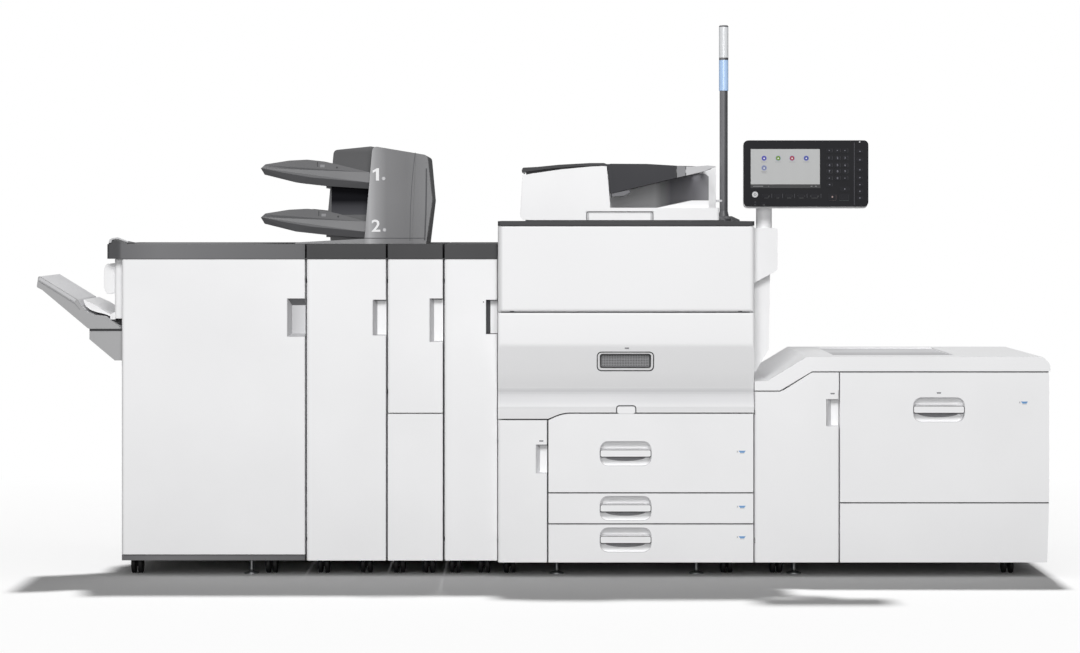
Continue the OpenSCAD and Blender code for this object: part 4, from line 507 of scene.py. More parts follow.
def stroke(path, width):
    """An outline round a line of points, as wide as width mm."""
    left = []
    right = []
    for number, (x, z) in enumerate(path):
        before = path[max(number - 1, 0)]
        after = path[min(number + 1, len(path) - 1)]
        run = Vector((after[0] - before[0], after[1] - before[1])).normalized()
        left.append((x - run.y * width / 2, z + run.x * width / 2))
        right.append((x + run.y * width / 2, z - run.x * width / 2))
    return left + right[::-1]


print("points of a disc and of a round-cornered rectangle:", len(disc(0, 0, 1)), len(rounded(0, 0, 9, 9, 1)))

# %% Solids from outlines
def ring_of(shape, outline, depth, lean=None, axis="Y"):
    """Adds the points of an outline at a depth in mm; lean moves them in y by their height."""
    points = []
    for one, two in outline:
        place = {"X": (depth, one, two), "Y": (one, depth + (lean(two) if lean else 0), two),
                 "Z": (one, two, depth)}[axis]
        points.append(shape.verts.new([value / 1000 for value in place]))
    return points


def prism(shape, outline, near, far, axis="Y"):
    """Adds a solid with this outline, from near to far along the axis."""
    front = ring_of(shape, outline, near, axis=axis)
    back = ring_of(shape, outline, far, axis=axis)
    shape.faces.new(front)
    shape.faces.new(back[::-1])
    for number in range(len(front)):
        other = (number + 1) % len(front)
        shape.faces.new((front[other], front[number], back[number], back[other]))


def band(shape, outer, inner, near, far, lean=None):
    """Adds a flat frame between two outlines that have the same number of points."""
    loops = [ring_of(shape, outline, depth, lean)
             for outline, depth in ((outer, near), (inner, near), (inner, far), (outer, far))]
    for number in range(len(outer)):
        other = (number + 1) % len(outer)
        for side in range(4):
            one, two = loops[side], loops[(side + 1) % 4]
            shape.faces.new((one[number], one[other], two[other], two[number]))


def rim_round(shape, x, z, sizes, near, far):
    """Adds a frame about a middle; sizes are half width, half height and corner, outside and inside."""
    outer, inner = [rounded(x - wide, z - high, x + wide, z + high, corner)
                    for wide, high, corner in sizes]
    band(shape, outer, inner, near, far)


trial = bmesh.new()
prism(trial, oblong(0, 0, 9, 9), 0, 1)
print("faces of a four-sided slab:", len(trial.faces))
trial.free()

# %% Figures
FONT_SWELL = 0.016


def figure(shape, text, x, z, height, near, far, stretch=1.0):
    """Adds a plain bold figure, height mm tall, with its lower left corner at x and z."""
    curve = bpy.data.curves.new("figure", "FONT")
    curve.body = text
    curve.extrude = 0.5
    curve.offset = FONT_SWELL
    curve.resolution_u = 3
    holder = bpy.data.objects.new("figure", curve)
    mesh = bpy.data.meshes.new_from_object(holder)
    low = [min(vertex.co[axis] for vertex in mesh.vertices) for axis in range(3)]
    scale = height / (max(vertex.co.y for vertex in mesh.vertices) - low[1])
    for vertex in mesh.vertices:
        vertex.co = ((x + (vertex.co.x - low[0]) * scale * stretch) / 1000,
                     (near if vertex.co.z > 0 else far) / 1000,
                     (z + (vertex.co.y - low[1]) * scale) / 1000)
    shape.from_mesh(mesh)
    bpy.data.objects.remove(holder)
    bpy.data.curves.remove(curve)
    bpy.data.meshes.remove(mesh)


print("figure outlines are swelled by", FONT_SWELL, "of their size")

# %% Pieces that ride on a body
MERGE_M = 0.000002


def put(name, shape, finish, body, soft_edge=0.0):
    """Turns the mesh under work into a piece that rides on a body; soft_edge rounds it, in mm."""
    bmesh.ops.remove_doubles(shape, verts=shape.verts, dist=MERGE_M)
    bmesh.ops.recalc_face_normals(shape, faces=shape.faces)
    mesh = bpy.data.meshes.new(name)
    shape.to_mesh(mesh)
    shape.free()
    mesh.materials.append(finish)
    piece = bpy.data.objects.new(name, mesh)
    bpy.context.scene.collection.objects.link(piece)
    if soft_edge:
        rounding = piece.modifiers.new("soft_edge", "BEVEL")
        rounding.width = soft_edge / 1000
        rounding.segments = 2
        rounding.limit_method = "ANGLE"
    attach(piece, body)


def slabs(name, finish, body, slot, *parts, soft_edge=0.0, axis="Y"):
    """Makes one piece from slabs, each given as its outline, its near face and its far face in mm."""
    shape = bmesh.new()
    for outline, near, far in parts:
        prism(shape, outline, near, far, axis)
    put(name, shape, finish, body, soft_edge)


print("points closer than", MERGE_M * 1e6, "micrometres are merged")

# %% Inks and small mouldings
def ink(name, colour, shade):
    """Screen ink: matt, with a finer grain than the moulding under it."""
    return moulded_plastic(name, colour, shade, roughness=0.6, grain_mm=1.5)


white_ink = ink("white_screen_ink", "#ececed", "#e4e4e5")
grey_ink = ink("grey_screen_ink", "#9b9b9d", "#959597")
graphite_ink = ink("graphite_screen_ink", "#47474a", "#424245")
pale_trim = moulded_plastic("pale_grey_pp_moulded", "#c6c6c8", "#bfbfc1", roughness=0.55)
mid_trim = moulded_plastic("mid_grey_abs_moulded", "#87878a", "#818184")
black_trim = moulded_plastic("black_abs_moulded", "#232326", "#1f1f22")
print("inks and trims: 6")

# %% [markdown]
# ## Operation panel
# The operating panel is a black moulded face with a glass touch display, rubber keys and hard keys.
# The display shows five round buttons with a caption bar each. Round, square and wide keys carry plain
# figures. All of it lies flat on the face, so it is built on one plane, key by key.

# %% Lit display
DOT_ROW_MM = 1.2


def lit_print(name, colour, shade):
    """A patch of a liquid crystal display: fine rows of dots, a little light of its own."""
    material, tree = empty_material(name)
    place = add_node(tree, "ShaderNodeTexCoord")
    rows = add_node(tree, "ShaderNodeTexWave", wave_type="BANDS", bands_direction="Z",
                    inputs={"Scale": WAVE_SCALE / DOT_ROW_MM}, links={"Vector": place.outputs["Object"]})
    tone = add_node(tree, "ShaderNodeValToRGB", links={"Fac": rows.outputs["Fac"]})
    tone.color_ramp.elements[0].color = linear(shade)
    tone.color_ramp.elements[1].color = linear(colour)
    surface = add_node(tree, "ShaderNodeBsdfPrincipled",
                       inputs={"IOR": CLEAR_IOR, "Roughness": 0.4, "Emission Strength": 0.1},
                       links={"Base Color": tone.outputs["Color"], "Emission Color": tone.outputs["Color"]})
    add_node(tree, "ShaderNodeOutputMaterial", links={"Surface": surface.outputs[0]})
    return material


print("rows of dots every", DOT_ROW_MM, "mm")

# %% Display buttons
PANEL = "operation_panel"
GLASS = span("panel_screen")[0][1]
SIGN = (GLASS - 0.5, GLASS + 0.4)
BUTTON_RADIUS = 7.4
BUTTON_RIM = 8.6
CAPTION_PITCH = 3.4
BUTTONS_PX = (("violet_button", "#37339a", "#2f2b8c", (764.1, 158.2), 1),
              ("green_button", "#62851a", "#567814", (778.2, 158.2), 1),
              ("red_button", "#96203a", "#881a33", (792.1, 158.2), 1),
              ("blue_button", "#333f94", "#2c3787", (806.2, 158.2), 1),
              ("slate_button", "#6d7698", "#636c8e", (764.1, 167.9), 2))
rims = bmesh.new()
arrows = bmesh.new()
captions = bmesh.new()
for name, colour, shade, place_px, lines in BUTTONS_PX:
    x, z = at(*place_px, GLASS)
    slabs("display_" + name, lit_print(name + "_display", colour, shade), PANEL, "screen_glass",
          (disc(x, z, BUTTON_RADIUS), *SIGN))
    band(rims, disc(x, z, BUTTON_RIM), disc(x, z, BUTTON_RADIUS), GLASS - 0.6, GLASS + 0.4)
    prism(arrows, [(x - 1.9, z - 2.4), (x + 1.9, z - 2.4), (x + 1.9, z + 0.4), (x, z + 2.2),
                   (x - 1.9, z + 0.4)], GLASS - 0.7, GLASS - 0.5)
    for row in range(lines):
        half = 9.5 - 2.5 * row
        drop = CAPTION_PITCH * row
        prism(captions, oblong(x - half, z - 12.6 - drop, x + half, z - 10.9 - drop), *SIGN)
put("display_button_rims", rims, lit_print("rim_display", "#8f92b4", "#868aac"), PANEL)
put("display_button_signs", arrows, white_ink, PANEL)
put("display_captions", captions, grey_ink, PANEL)
print("display buttons:", len(BUTTONS_PX))

# %% Strip under the display
STRIP_PX = ((750.6, 188.0), (820.4, 184.3))
STRIP_MARKS_PX = ((753.0, 763.0), (768.4, 768.9), (810.6, 812.4), (815.0, 816.8))
MARK_FOOT_PX = 186.5
MARK_HEAD_PX = 185.9
low, high = traced(STRIP_PX, GLASS)
slabs("display_status_strip", black_trim, PANEL, "panel_black",
      (rounded(*low, *high, 0.6), GLASS - 0.5, GLASS + 0.5))
slabs("status_strip_marks", mid_trim, PANEL, "panel_key",
      *((oblong(*at(start, MARK_FOOT_PX, GLASS), *at(end, MARK_HEAD_PX, GLASS)), GLASS - 0.8, GLASS - 0.4)
        for start, end in STRIP_MARKS_PX))
print("strip marks:", len(STRIP_MARKS_PX))

# %% Keys and their figures
KEY_COLUMNS_PX = (829.5, 837.6, 845.2)
KEY_ROWS_PX = (150.5, 157.9, 165.1, 171.3, 178.1)
KEY_LABELS = ("   ", "123", "456", "789", " 0 ")
SIDE_KEYS_PX = ((829.5, 184.6), (859.8, 151.3), (859.8, 159.8), (859.8, 169.8), (859.8, 177.6),
                (859.8, 184.6), (859.8, 191.2), (859.8, 198.0))
ENTER_KEY_PX = (844.6, 189.0)
NUMBER_KEY = ((9.4, 7.0, 4.2), (8.4, 6.0, 3.4))
SIDE_KEY = ((9.4, 6.4, 4.2), (8.4, 5.4, 3.4))
ENTER_KEY = ((14.6, 7.4, 6.0), (13.4, 6.2, 5.0))
RIM = (FACE - 0.4, FACE + 0.3)
LEGEND = (FACE - 2.6, FACE - 1.9)
key_rims = bmesh.new()
figures = bmesh.new()
for py, labels in zip(KEY_ROWS_PX, KEY_LABELS):
    for px, label in zip(KEY_COLUMNS_PX, labels):
        x, z = at(px, py, FACE)
        rim_round(key_rims, x, z, NUMBER_KEY, *RIM)
        if label.isdigit():
            figure(figures, label, x - 2.6, z - 3.4, 6.8, *LEGEND)
        else:
            prism(figures, disc(x - 1.0, z, 1.5, 10), *LEGEND)
for place_px in SIDE_KEYS_PX:
    x, z = at(*place_px, FACE)
    rim_round(key_rims, x, z, SIDE_KEY, *RIM)
    prism(figures, [(x - 2.8, z - 1.4), (x + 2.8, z - 1.4), (x + 1.2, z + 1.6), (x - 1.2, z + 1.6)], *LEGEND)
x, z = at(*ENTER_KEY_PX, FACE)
rim_round(key_rims, x, z, ENTER_KEY, *RIM)
prism(figures, [(x - 1, z - 2.4), (x + 3.4, z), (x - 1, z + 2.4)], *LEGEND)
# The rim round each key is a shade lighter than the face: a painted sheen along the key edges.
put("key_rims", key_rims, moulded_plastic("key_edge_painted_sheen", "#24242d", "#202028"), PANEL)
put("key_figures", figures, moulded_plastic("key_figure_ink", "#74747e", "#6d6d77"), PANEL)
print("keys:", len(KEY_ROWS_PX) * len(KEY_COLUMNS_PX) + len(SIDE_KEYS_PX) + 1)

# %% Stop and start keys
STOP_KEY_PX = (832.3, 197.3)
STOP_KEY = ((11.8, 10.2, 2.4), (10.6, 9.0, 1.6))
START_KEY_PX = (844.1, 197.5)
START_KEY = ((14.6, 10.2, 2.4), (13.6, 9.2, 1.8))
SQUARE_RIM = (FACE - 0.5, FACE + 0.4)
stop_rim = bmesh.new()
x, z = at(*STOP_KEY_PX, FACE)
rim_round(stop_rim, x, z, STOP_KEY, *SQUARE_RIM)
prism(stop_rim, rounded(x - 2.2, z - 1.4, x + 2.2, z + 3.8, 1.4), FACE - 2.4, FACE - 1.8)
put("stop_key_rim", stop_rim, moulded_plastic("stop_key_ink", "#a08a86", "#98827e"), PANEL)
start_rim = bmesh.new()
rim_round(start_rim, *at(*START_KEY_PX, FACE), START_KEY, *SQUARE_RIM)
put("start_key_rim", start_rim, moulded_plastic("start_key_ink", "#4d5a58", "#465351"), PANEL)
print("stop key is", 2 * STOP_KEY[0][0], "mm wide")

# %% Function keys, painted glints and the seams of the face
FUNCTION_KEYS_PX = ((762.7, 770.0), (774.8, 780.8), (785.4, 792.8), (797.4, 805.3), (809.9, 819.2))
WEDGE_HEAD_PX = 195.6
WEDGE_FOOT_PX = 198.4
WEDGE_SLANT = 6
GLINT_ROW_PX = 196.0
GLINT_STEP_PX = 1.6
FACE_SEAM_PX = ((854.0, 205.0), (854.5, 142.5))
wedges = bmesh.new()
glints = bmesh.new()
for start, end in FUNCTION_KEYS_PX:
    x0, z1 = at(start, WEDGE_HEAD_PX, FACE)
    x1, z0 = at(end, WEDGE_FOOT_PX, FACE)
    prism(wedges, [(x0, z1), (x1, z1), (x1 - WEDGE_SLANT, z0), (x0 + WEDGE_SLANT, z0)], *RIM)
    # Thin lighter bars beside the keys are painted glints; the face seam is drawn in the same lighter tone.
    x, z = at(end + GLINT_STEP_PX, GLINT_ROW_PX, FACE)
    prism(glints, oblong(x, z - 6, x + 1.1, z + 7), *RIM)
low, high = traced(FACE_SEAM_PX, FACE)
prism(glints, oblong(*low, *high), *RIM)
put("function_key_wedges", wedges, black_trim, PANEL)
put("face_seams_and_glints", glints, moulded_plastic("seam_and_glint_paint", "#3e3e46", "#383840"), PANEL)
print("function keys:", len(FUNCTION_KEYS_PX))

# %% Panel lamps
TOP_LAMP_PX = (859.6, 142.0)
FOOT_LAMPS_PX = ((755.1, 203.5), (763.9, 203.7))
lamps = bmesh.new()
sockets = bmesh.new()
for place_px, radius in ((TOP_LAMP_PX, 2.4), (FOOT_LAMPS_PX[0], 2.0), (FOOT_LAMPS_PX[1], 1.8)):
    prism(lamps, disc(*at(*place_px, FACE), radius, 12), FACE - 0.9, FACE + 0.3)
for x, z in traced(FOOT_LAMPS_PX, FACE):
    band(sockets, disc(x, z, 5.0), disc(x, z, 3.6), FACE - 0.6, FACE + 0.3)
put("panel_lamps", lamps, pale_trim, PANEL)
put("panel_lamp_rims", sockets, mid_trim, PANEL)
print("panel lamps:", 1 + len(FOOT_LAMPS_PX))

# %% Edge line and the sign on the round key
EDGE_PATH = [(629.8, 1196.0), (629.8, 1170.0), (632.4, 1162.4), (637.6, 1158.2), (646.0, 1156.8),
             (1000.0, 1156.8)]
slabs("face_edge_line", pale_trim, PANEL, "silver_key", (stroke(EDGE_PATH, 1.6), FACE + 1.0, FACE + 6.0))
key_low, key_high = span("home_key")
x = (key_low[0] + key_high[0]) / 2
z = (key_low[2] + key_high[2]) / 2
sign = bmesh.new()
band(sign, [(x, z - 4.6), (x + 4.6, z), (x, z + 4.6), (x - 4.6, z)],
     [(x, z - 3.2), (x + 3.2, z), (x, z + 3.2), (x - 3.2, z)], key_low[1] - 0.3, key_low[1] + 0.3)
put("round_key_sign", sign, graphite_ink, "home_key")
print("panel face at y", round(FACE, 1), "mm")

# %% [markdown]
# ## Document feeder
# On the real feeder a dark strip runs along the top of the feed cover, and the original tray has a
# dark cheek plate at the front that ends in a lighter pull-out extension. Both hide the hinge ears.
# They are flat mouldings, so each is an outline given a thickness, and each rides with what it closes.
# Thin caps over the hinge, a skin over the front and a gasket at the foot close the last open gaps.

# %% Feed cover strip
COVER_FRONT = span("adf_feed_cover")[0][1]
BODY_FRONT = span("adf_body")[0][1]
STRIP_OUTLINE_PX = ((521.9, 172.4), (521.7, 169.6), (530.0, 167.6), (559.0, 164.7), (590.0, 163.0),
                    (604.0, 163.0), (607.2, 164.2), (607.4, 166.2), (601.5, 165.7), (575.0, 166.6),
                    (550.0, 168.6), (535.0, 170.6))
STRIP_ROOT_PX = ((530.0, 168.4), (559.0, 165.4), (600.0, 163.6), (600.0, 164.6), (559.0, 166.4),
                 (530.0, 169.8))
slabs("feed_cover_strip", own_finishes["adf_feed_cover"], "adf_feed_cover", "grey_plastic",
      (traced(STRIP_OUTLINE_PX, BODY_FRONT), BODY_FRONT - 1.8, BODY_FRONT - 0.3),
      (traced(STRIP_ROOT_PX, BODY_FRONT), BODY_FRONT - 0.8, COVER_FRONT + 2.0), soft_edge=0.4)
print("feed cover strip at y", round(BODY_FRONT - 1.8, 1), "mm")

# %% Tray cheek and its extension
CHEEK = -360.0
CHEEK_BACK = CHEEK + 13.2
SLIDE = (CHEEK + 0.6, CHEEK + 5.2)
TRAY_FINISH = own_finishes["adf_tray"]
slabs("original_tray_cheek", TRAY_FINISH, "adf_tray", "grey_plastic",
      ([(214.5, 1290.6), (216.0, 1262.0), (222.0, 1198.0), (300.0, 1216.5), (422.0, 1246.0),
        (422.0, 1284.5), (330.0, 1290.0)], CHEEK, CHEEK + 4.0),
      ([(252.0, 1219.0), (300.0, 1230.0), (300.0, 1276.0), (252.0, 1279.0)], CHEEK + 3.5, CHEEK_BACK),
      soft_edge=0.5)
slabs("extension_slide", mid_trim, "adf_tray", "grey_plastic",
      ([(424.0, 1246.5), (451.0, 1252.8), (451.0, 1281.8), (424.0, 1284.3)], *SLIDE),
      (oblong(421.0, 1262.0, 430.0, 1274.0), CHEEK + 1.0, CHEEK_BACK), soft_edge=0.4)
slabs("tray_extension", pale_trim, "adf_tray", "grey_plastic",
      ([(453.0, 1253.2), (510.0, 1266.5), (533.0, 1276.5), (546.0, 1279.0), (545.0, 1283.0),
        (520.0, 1285.2), (470.0, 1281.5), (453.0, 1281.6)], *SLIDE),
      (oblong(449.0, 1262.0, 460.0, 1272.0), CHEEK + 1.0, CHEEK_BACK), soft_edge=0.4)
slabs("extension_seam", black_trim, "adf_tray", "grey_plastic",
      ([(418.8, 1248.0), (422.6, 1249.0), (422.6, 1284.0), (418.8, 1284.3)], CHEEK - 0.5, CHEEK + 1.0))
print("cheek plate at y", CHEEK, "mm")

# %% Exit flap under the tray
FLAP_PX = ((611.6, 193.7), (629.0, 189.9), (630.4, 193.0), (627.6, 195.4), (622.6, 196.0), (611.8, 196.6))
LIP_PX = ((611.4, 197.0), (620.0, 196.9), (624.0, 196.0), (630.2, 192.6))
slabs("exit_flap", moulded_plastic("flap_abs_moulded", "#6c6c70", "#66666a"), "document_feeder",
      "grey_plastic", (traced(FLAP_PX, CHEEK), CHEEK + 1.0, CHEEK + 9.0), soft_edge=0.5)
slabs("exit_flap_lip", black_trim, "document_feeder", "grey_plastic",
      (stroke(traced(LIP_PX, CHEEK), 2.2), CHEEK + 0.4, CHEEK + 8.0))
print("exit flap corners:", len(FLAP_PX))

# %% Caps, front skin and foot gasket
slabs("cheek_gap_cap", TRAY_FINISH, "document_feeder", "grey_plastic",
      ([(204.6, 1287.0), (208.6, 1240.0), (212.0, 1198.0), (226.0, 1198.0), (221.0, 1240.0),
        (218.0, 1288.0)], CHEEK - 1.9, CHEEK - 0.6))
slabs("tray_ear_cap", TRAY_FINISH, "document_feeder", "grey_plastic",
      ([(203.6, 1289.4), (201.2, 1280.0), (204.0, 1258.0), (225.0, 1258.0), (225.0, 1290.0)],
       CHEEK + 4.3, CHEEK + 4.9))
slabs("housing_front_skin", finishes["white_cover"], "document_feeder", "white_cover",
      ([(-62.0, 1114.0), (134.0, 1114.0), (135.0, 1117.0), (135.0, 1145.0), (213.4, 1145.0),
        (213.6, 1160.0), (203.0, 1281.4), (199.6, 1283.6), (150.0, 1281.0), (60.0, 1272.6),
        (-30.0, 1259.6), (-58.0, 1254.4), (-60.6, 1250.0), (-67.4, 1122.0)],
       BODY_FRONT - 0.25, BODY_FRONT + 0.8))
slabs("feeder_foot_gasket", black_trim, "line_frame", "dark_cap",
      (oblong(-52.0, 1110.2, 571.0, 1113.4), BODY_FRONT - 1.4, BODY_FRONT - 0.6))
print("front skin is", round(0.25 + 0.8, 2), "mm thick")

# %% [markdown]
# ## Delivery wall and catch recess
# Behind the original tray stands a pale wall that falls into shade towards the middle, and the foot of
# the housing has a shallow recess for the hand that lifts it. The wall is one thin lining whose colour
# darkens along it as painted shade, and the recess is two grey side plates and a darker edge line that
# turns its two corners, painted shade inside the recess.

# %% Delivery wall and catch recess
CATCH_MIDDLE = 244.0
CATCH_REACH = 101.0
CATCH_BACK = BODY_FRONT + 8.4
# The lining's colour is painted shade: pale at the left, dark where the tray above shades the wall.
slabs("delivery_wall_shade_lining",
      moulded_plastic("delivery_wall_painted_shade", "#c9c9ca", "#c2c2c3",
                      drift=("X", [(210, "#e8e8ea"), (372, "#e0e0e2"), (392, "#a8a8ab"), (424, "#5c5b64"),
                                   (500, "#5f5e66"), (548, "#7c7c80")])),
      "document_feeder", "light_grey_plastic",
      ([(214.0, 1152.0), (548.0, 1152.0), (548.0, 1256.0), (536.0, 1266.0), (214.0, 1266.0)], 56.6, 58.4))
# The grey side plates and the darker edge line paint the shade inside the catch recess.
slabs("lift_recess_shaded_sides", pale_trim, "document_feeder", "light_grey_plastic",
      *((oblong(middle - 4.5, 1113.8, middle + 4.5, 1138.0), BODY_FRONT + 6.6, CATCH_BACK)
        for middle in (CATCH_MIDDLE - CATCH_REACH, CATCH_MIDDLE + CATCH_REACH)))
slabs("lift_recess_shade_line", mid_trim, "document_feeder", "grey_plastic",
      (stroke([(139.6, 1114.0), (139.8, 1134.0), (144.0, 1140.4), (344.0, 1140.4), (348.2, 1134.0),
               (348.4, 1114.0)], 2.6), BODY_FRONT + 5.4, CATCH_BACK))
slabs("size_lever", pale_trim, "document_feeder", "light_grey_plastic",
      ([(550.0, 1170.0), (566.0, 1170.6), (570.0, 1173.6), (567.0, 1177.4), (550.0, 1178.0)],
       -316.0, -296.0), soft_edge=1.0)
print("catch recess:", 2 * CATCH_REACH, "mm wide")

# %% [markdown]
# ## Cover inserter
# The two sheet levels carry the plain figures 1 and 2 and a small lamp each. The front cover shows a
# seam, a base line, and a dark gap before its curved right shell. Between the trays a dark sheet paints
# the shade in the feed mouth. The 2 comes from Blender's own font, turned into a thin solid, and the 1 is
# drawn as an outline.

# %% Level figures and lamps
COVER = span("interposer_cover")[0][1]
COVER_CUT = COVER + 0.8
TWO_FOOT_PX = (371.6, 231.8)
TWO_HEAD_PX = (371.6, 219.6)
ONE_PX = ((375.9, 180.6), (379.0, 180.6), (379.0, 168.2), (376.9, 168.2), (372.6, 170.6), (372.6, 173.0),
          (375.9, 171.4))
LEVEL_LAMPS_PX = ((383.6, 178.5), (384.4, 229.9))
level_figures = bmesh.new()
x, z = at(*TWO_FOOT_PX, COVER)
figure(level_figures, "2", x, z, at(*TWO_HEAD_PX, COVER)[1] - z, COVER - 0.7, COVER_CUT, stretch=1.12)
prism(level_figures, traced(ONE_PX, COVER), COVER - 0.7, COVER_CUT)
put("level_figures", level_figures, white_ink, "line_frame")
level_lamps = bmesh.new()
lamp_rims = bmesh.new()
for x, z in traced(LEVEL_LAMPS_PX, COVER):
    prism(level_lamps, disc(x, z, 5.0, 16), COVER - 1.0, COVER_CUT)
    band(lamp_rims, disc(x, z, 7.2, 16), disc(x, z, 5.2, 16), COVER - 0.6, COVER_CUT)
put("level_lamps", level_lamps, pale_trim, "line_frame")
put("level_lamp_rims", lamp_rims, mid_trim, "line_frame")
print("sheet levels:", len(LEVEL_LAMPS_PX))

# %% Cover seams and feed mouth
SEAMS_PX = ((((415.2, 152.6), (413.4, 168.0), (411.9, 184.0), (410.4, 210.0), (409.9, 241.0)), 1.6),
            (((364.4, 238.2), (424.2, 238.2)), 2.4),
            (((426.4, 168.4), (426.3, 190.0), (425.8, 215.0), (424.7, 240.4)), 4.6))
MOUTH_PX = ((331.6, 214.6), (371.0, 186.2))
HOUSING = span("interposer_body")[0][1]
slabs("inserter_seams", graphite_ink, "line_frame", "grey_plastic",
      *((stroke(traced(path, COVER), width), COVER - 0.5, COVER_CUT) for path, width in SEAMS_PX))
low, high = traced(MOUTH_PX, HOUSING)
# The mouth sheet is painted shade, darkest towards the top, just under the upper tray.
slabs("feed_mouth_shade_sheet",
      moulded_plastic("feed_mouth_painted_shade", "#1c1c20", "#18181c", roughness=0.7, shine=0.05,
                      drift=("Z", [(1128, "#56565a"), (1158, "#424246"), (1176, "#101014"),
                                   (1222, "#18181c")])),
      "line_frame", "grey_plastic", (oblong(*low, *high), HOUSING - 0.6, HOUSING + 0.6))
print("cover seams:", len(SEAMS_PX))

# %% Slots and pads of the sheet guides
TRAY = -232.0
TRAY_PRINT = (TRAY - 0.6, TRAY + 0.8)
GUIDE_SLOT_PX = (317.5, 164.4)
GUIDE_HOLE_PX = (336.9, 167.5)
GUIDE_PAD_PX = (322.4, 166.0)
LEVEL_STEPS_PX = ((0.0, 0.0), (1.3, 49.1))
tray_slots = bmesh.new()
tray_pads = bmesh.new()
for shift, drop in LEVEL_STEPS_PX:
    (slot_x, slot_z), (hole_x, hole_z), (pad_x, pad_z) = [
        at(px + shift, py + drop, TRAY) for px, py in (GUIDE_SLOT_PX, GUIDE_HOLE_PX, GUIDE_PAD_PX)]
    prism(tray_slots, oblong(slot_x - 1.4, slot_z - 8, slot_x + 1.4, slot_z + 8), *TRAY_PRINT)
    prism(tray_slots, disc(hole_x, hole_z, 3.2, 14), *TRAY_PRINT)
    prism(tray_pads, oblong(pad_x - 7, pad_z - 4.4, pad_x + 7, pad_z + 4.4), *TRAY_PRINT)
put("sheet_guide_slots", tray_slots, black_trim, "line_frame")
put("sheet_guide_pads", tray_pads, mid_trim, "line_frame")
print("sheet guides:", len(LEVEL_STEPS_PX))

# %% [markdown]
# ## Finger recesses, handles and badges
# Each door has a finger recess at its right edge with slanted walls, and each drawer a bar across a
# pocket. The shade that falls in each recess is painted: wedges close its top, bottom and left side,
# the top darkest and the back greyer to the left. Under and round each bar the shade is painted in
# grey and dark lines. Every drawer has a small blue level badge.

# %% Finger recess linings
WALL = 24.0
INSET = 0.2
DEEP_RECESS = 50
painted_shade_top_wall = moulded_plastic("recess_top_painted_shade", "#7a7a7c", "#747476")
painted_shade_side_wall = moulded_plastic("recess_side_painted_shade", "#bcbcbe", "#b6b6b8")
painted_shade_pale_side = moulded_plastic("recess_pale_side_painted_shade", "#e2e2e4", "#dcdcde")
RECESSES = (("finisher_door", -743, 748, 868, 56, -390, 22, 9, painted_shade_side_wall),
            ("folder_door", -489, 752, 864, 42, -390, 5, 2, painted_shade_side_wall),
            ("inserter_door", -311, 732, 868, 42, -390, 5, 2, pale_trim),
            ("relay_door", -140, 756, 864, 36, -390, 4, 2, graphite_ink),
            ("waste_door", 16, 322, 412, 36, -415, 4, 2, painted_shade_pale_side),
            ("feeder_door", 927, 469, 556, 36, -415, 4, 2, painted_shade_pale_side))
# The last column is the painted shade of the recess's left wall; pale_trim and graphite_ink serve there as
# shade tones.
for door, right, low, high, wide, front, top_drop, foot_rise, side in RECESSES:
    left = right - wide
    wall_back = front + WALL - INSET
    slabs(door + "_recess_top", painted_shade_top_wall, door, "grey_plastic",
          ([(front + 1.2, high - INSET), (wall_back, high - top_drop), (wall_back, high - INSET)],
           left + 1.5, right - 0.3), axis="X")
    lining = bmesh.new()
    prism(lining, [(front + 1.2, low + INSET), (wall_back, low + INSET), (wall_back, low + foot_rise)],
          left + 4.0, right - 0.3, axis="X")
    prism(lining, [(left + 0.3, front + 0.4), (left + 1.6, front + 0.4), (left + 14.0, wall_back),
                   (left + 12.2, wall_back)], low + 0.4, high - 0.4, axis="Z")
    put(door + "_recess_side", lining, side, door)
    if wide > DEEP_RECESS:
        slabs(door + "_recess_back",
              moulded_plastic("recess_back_painted_shade", "#cdcdcf", "#c7c7c9",
                              drift=("X", [(left + 14, "#b9b9bb"), (right, "#d2d2d4")])),
              door, "light_grey_plastic",
              (oblong(left + 14.0, low + foot_rise, right - 0.3, high - top_drop),
               front + WALL - 1.2, front + WALL + 0.2))
print("finger recesses:", len(RECESSES))

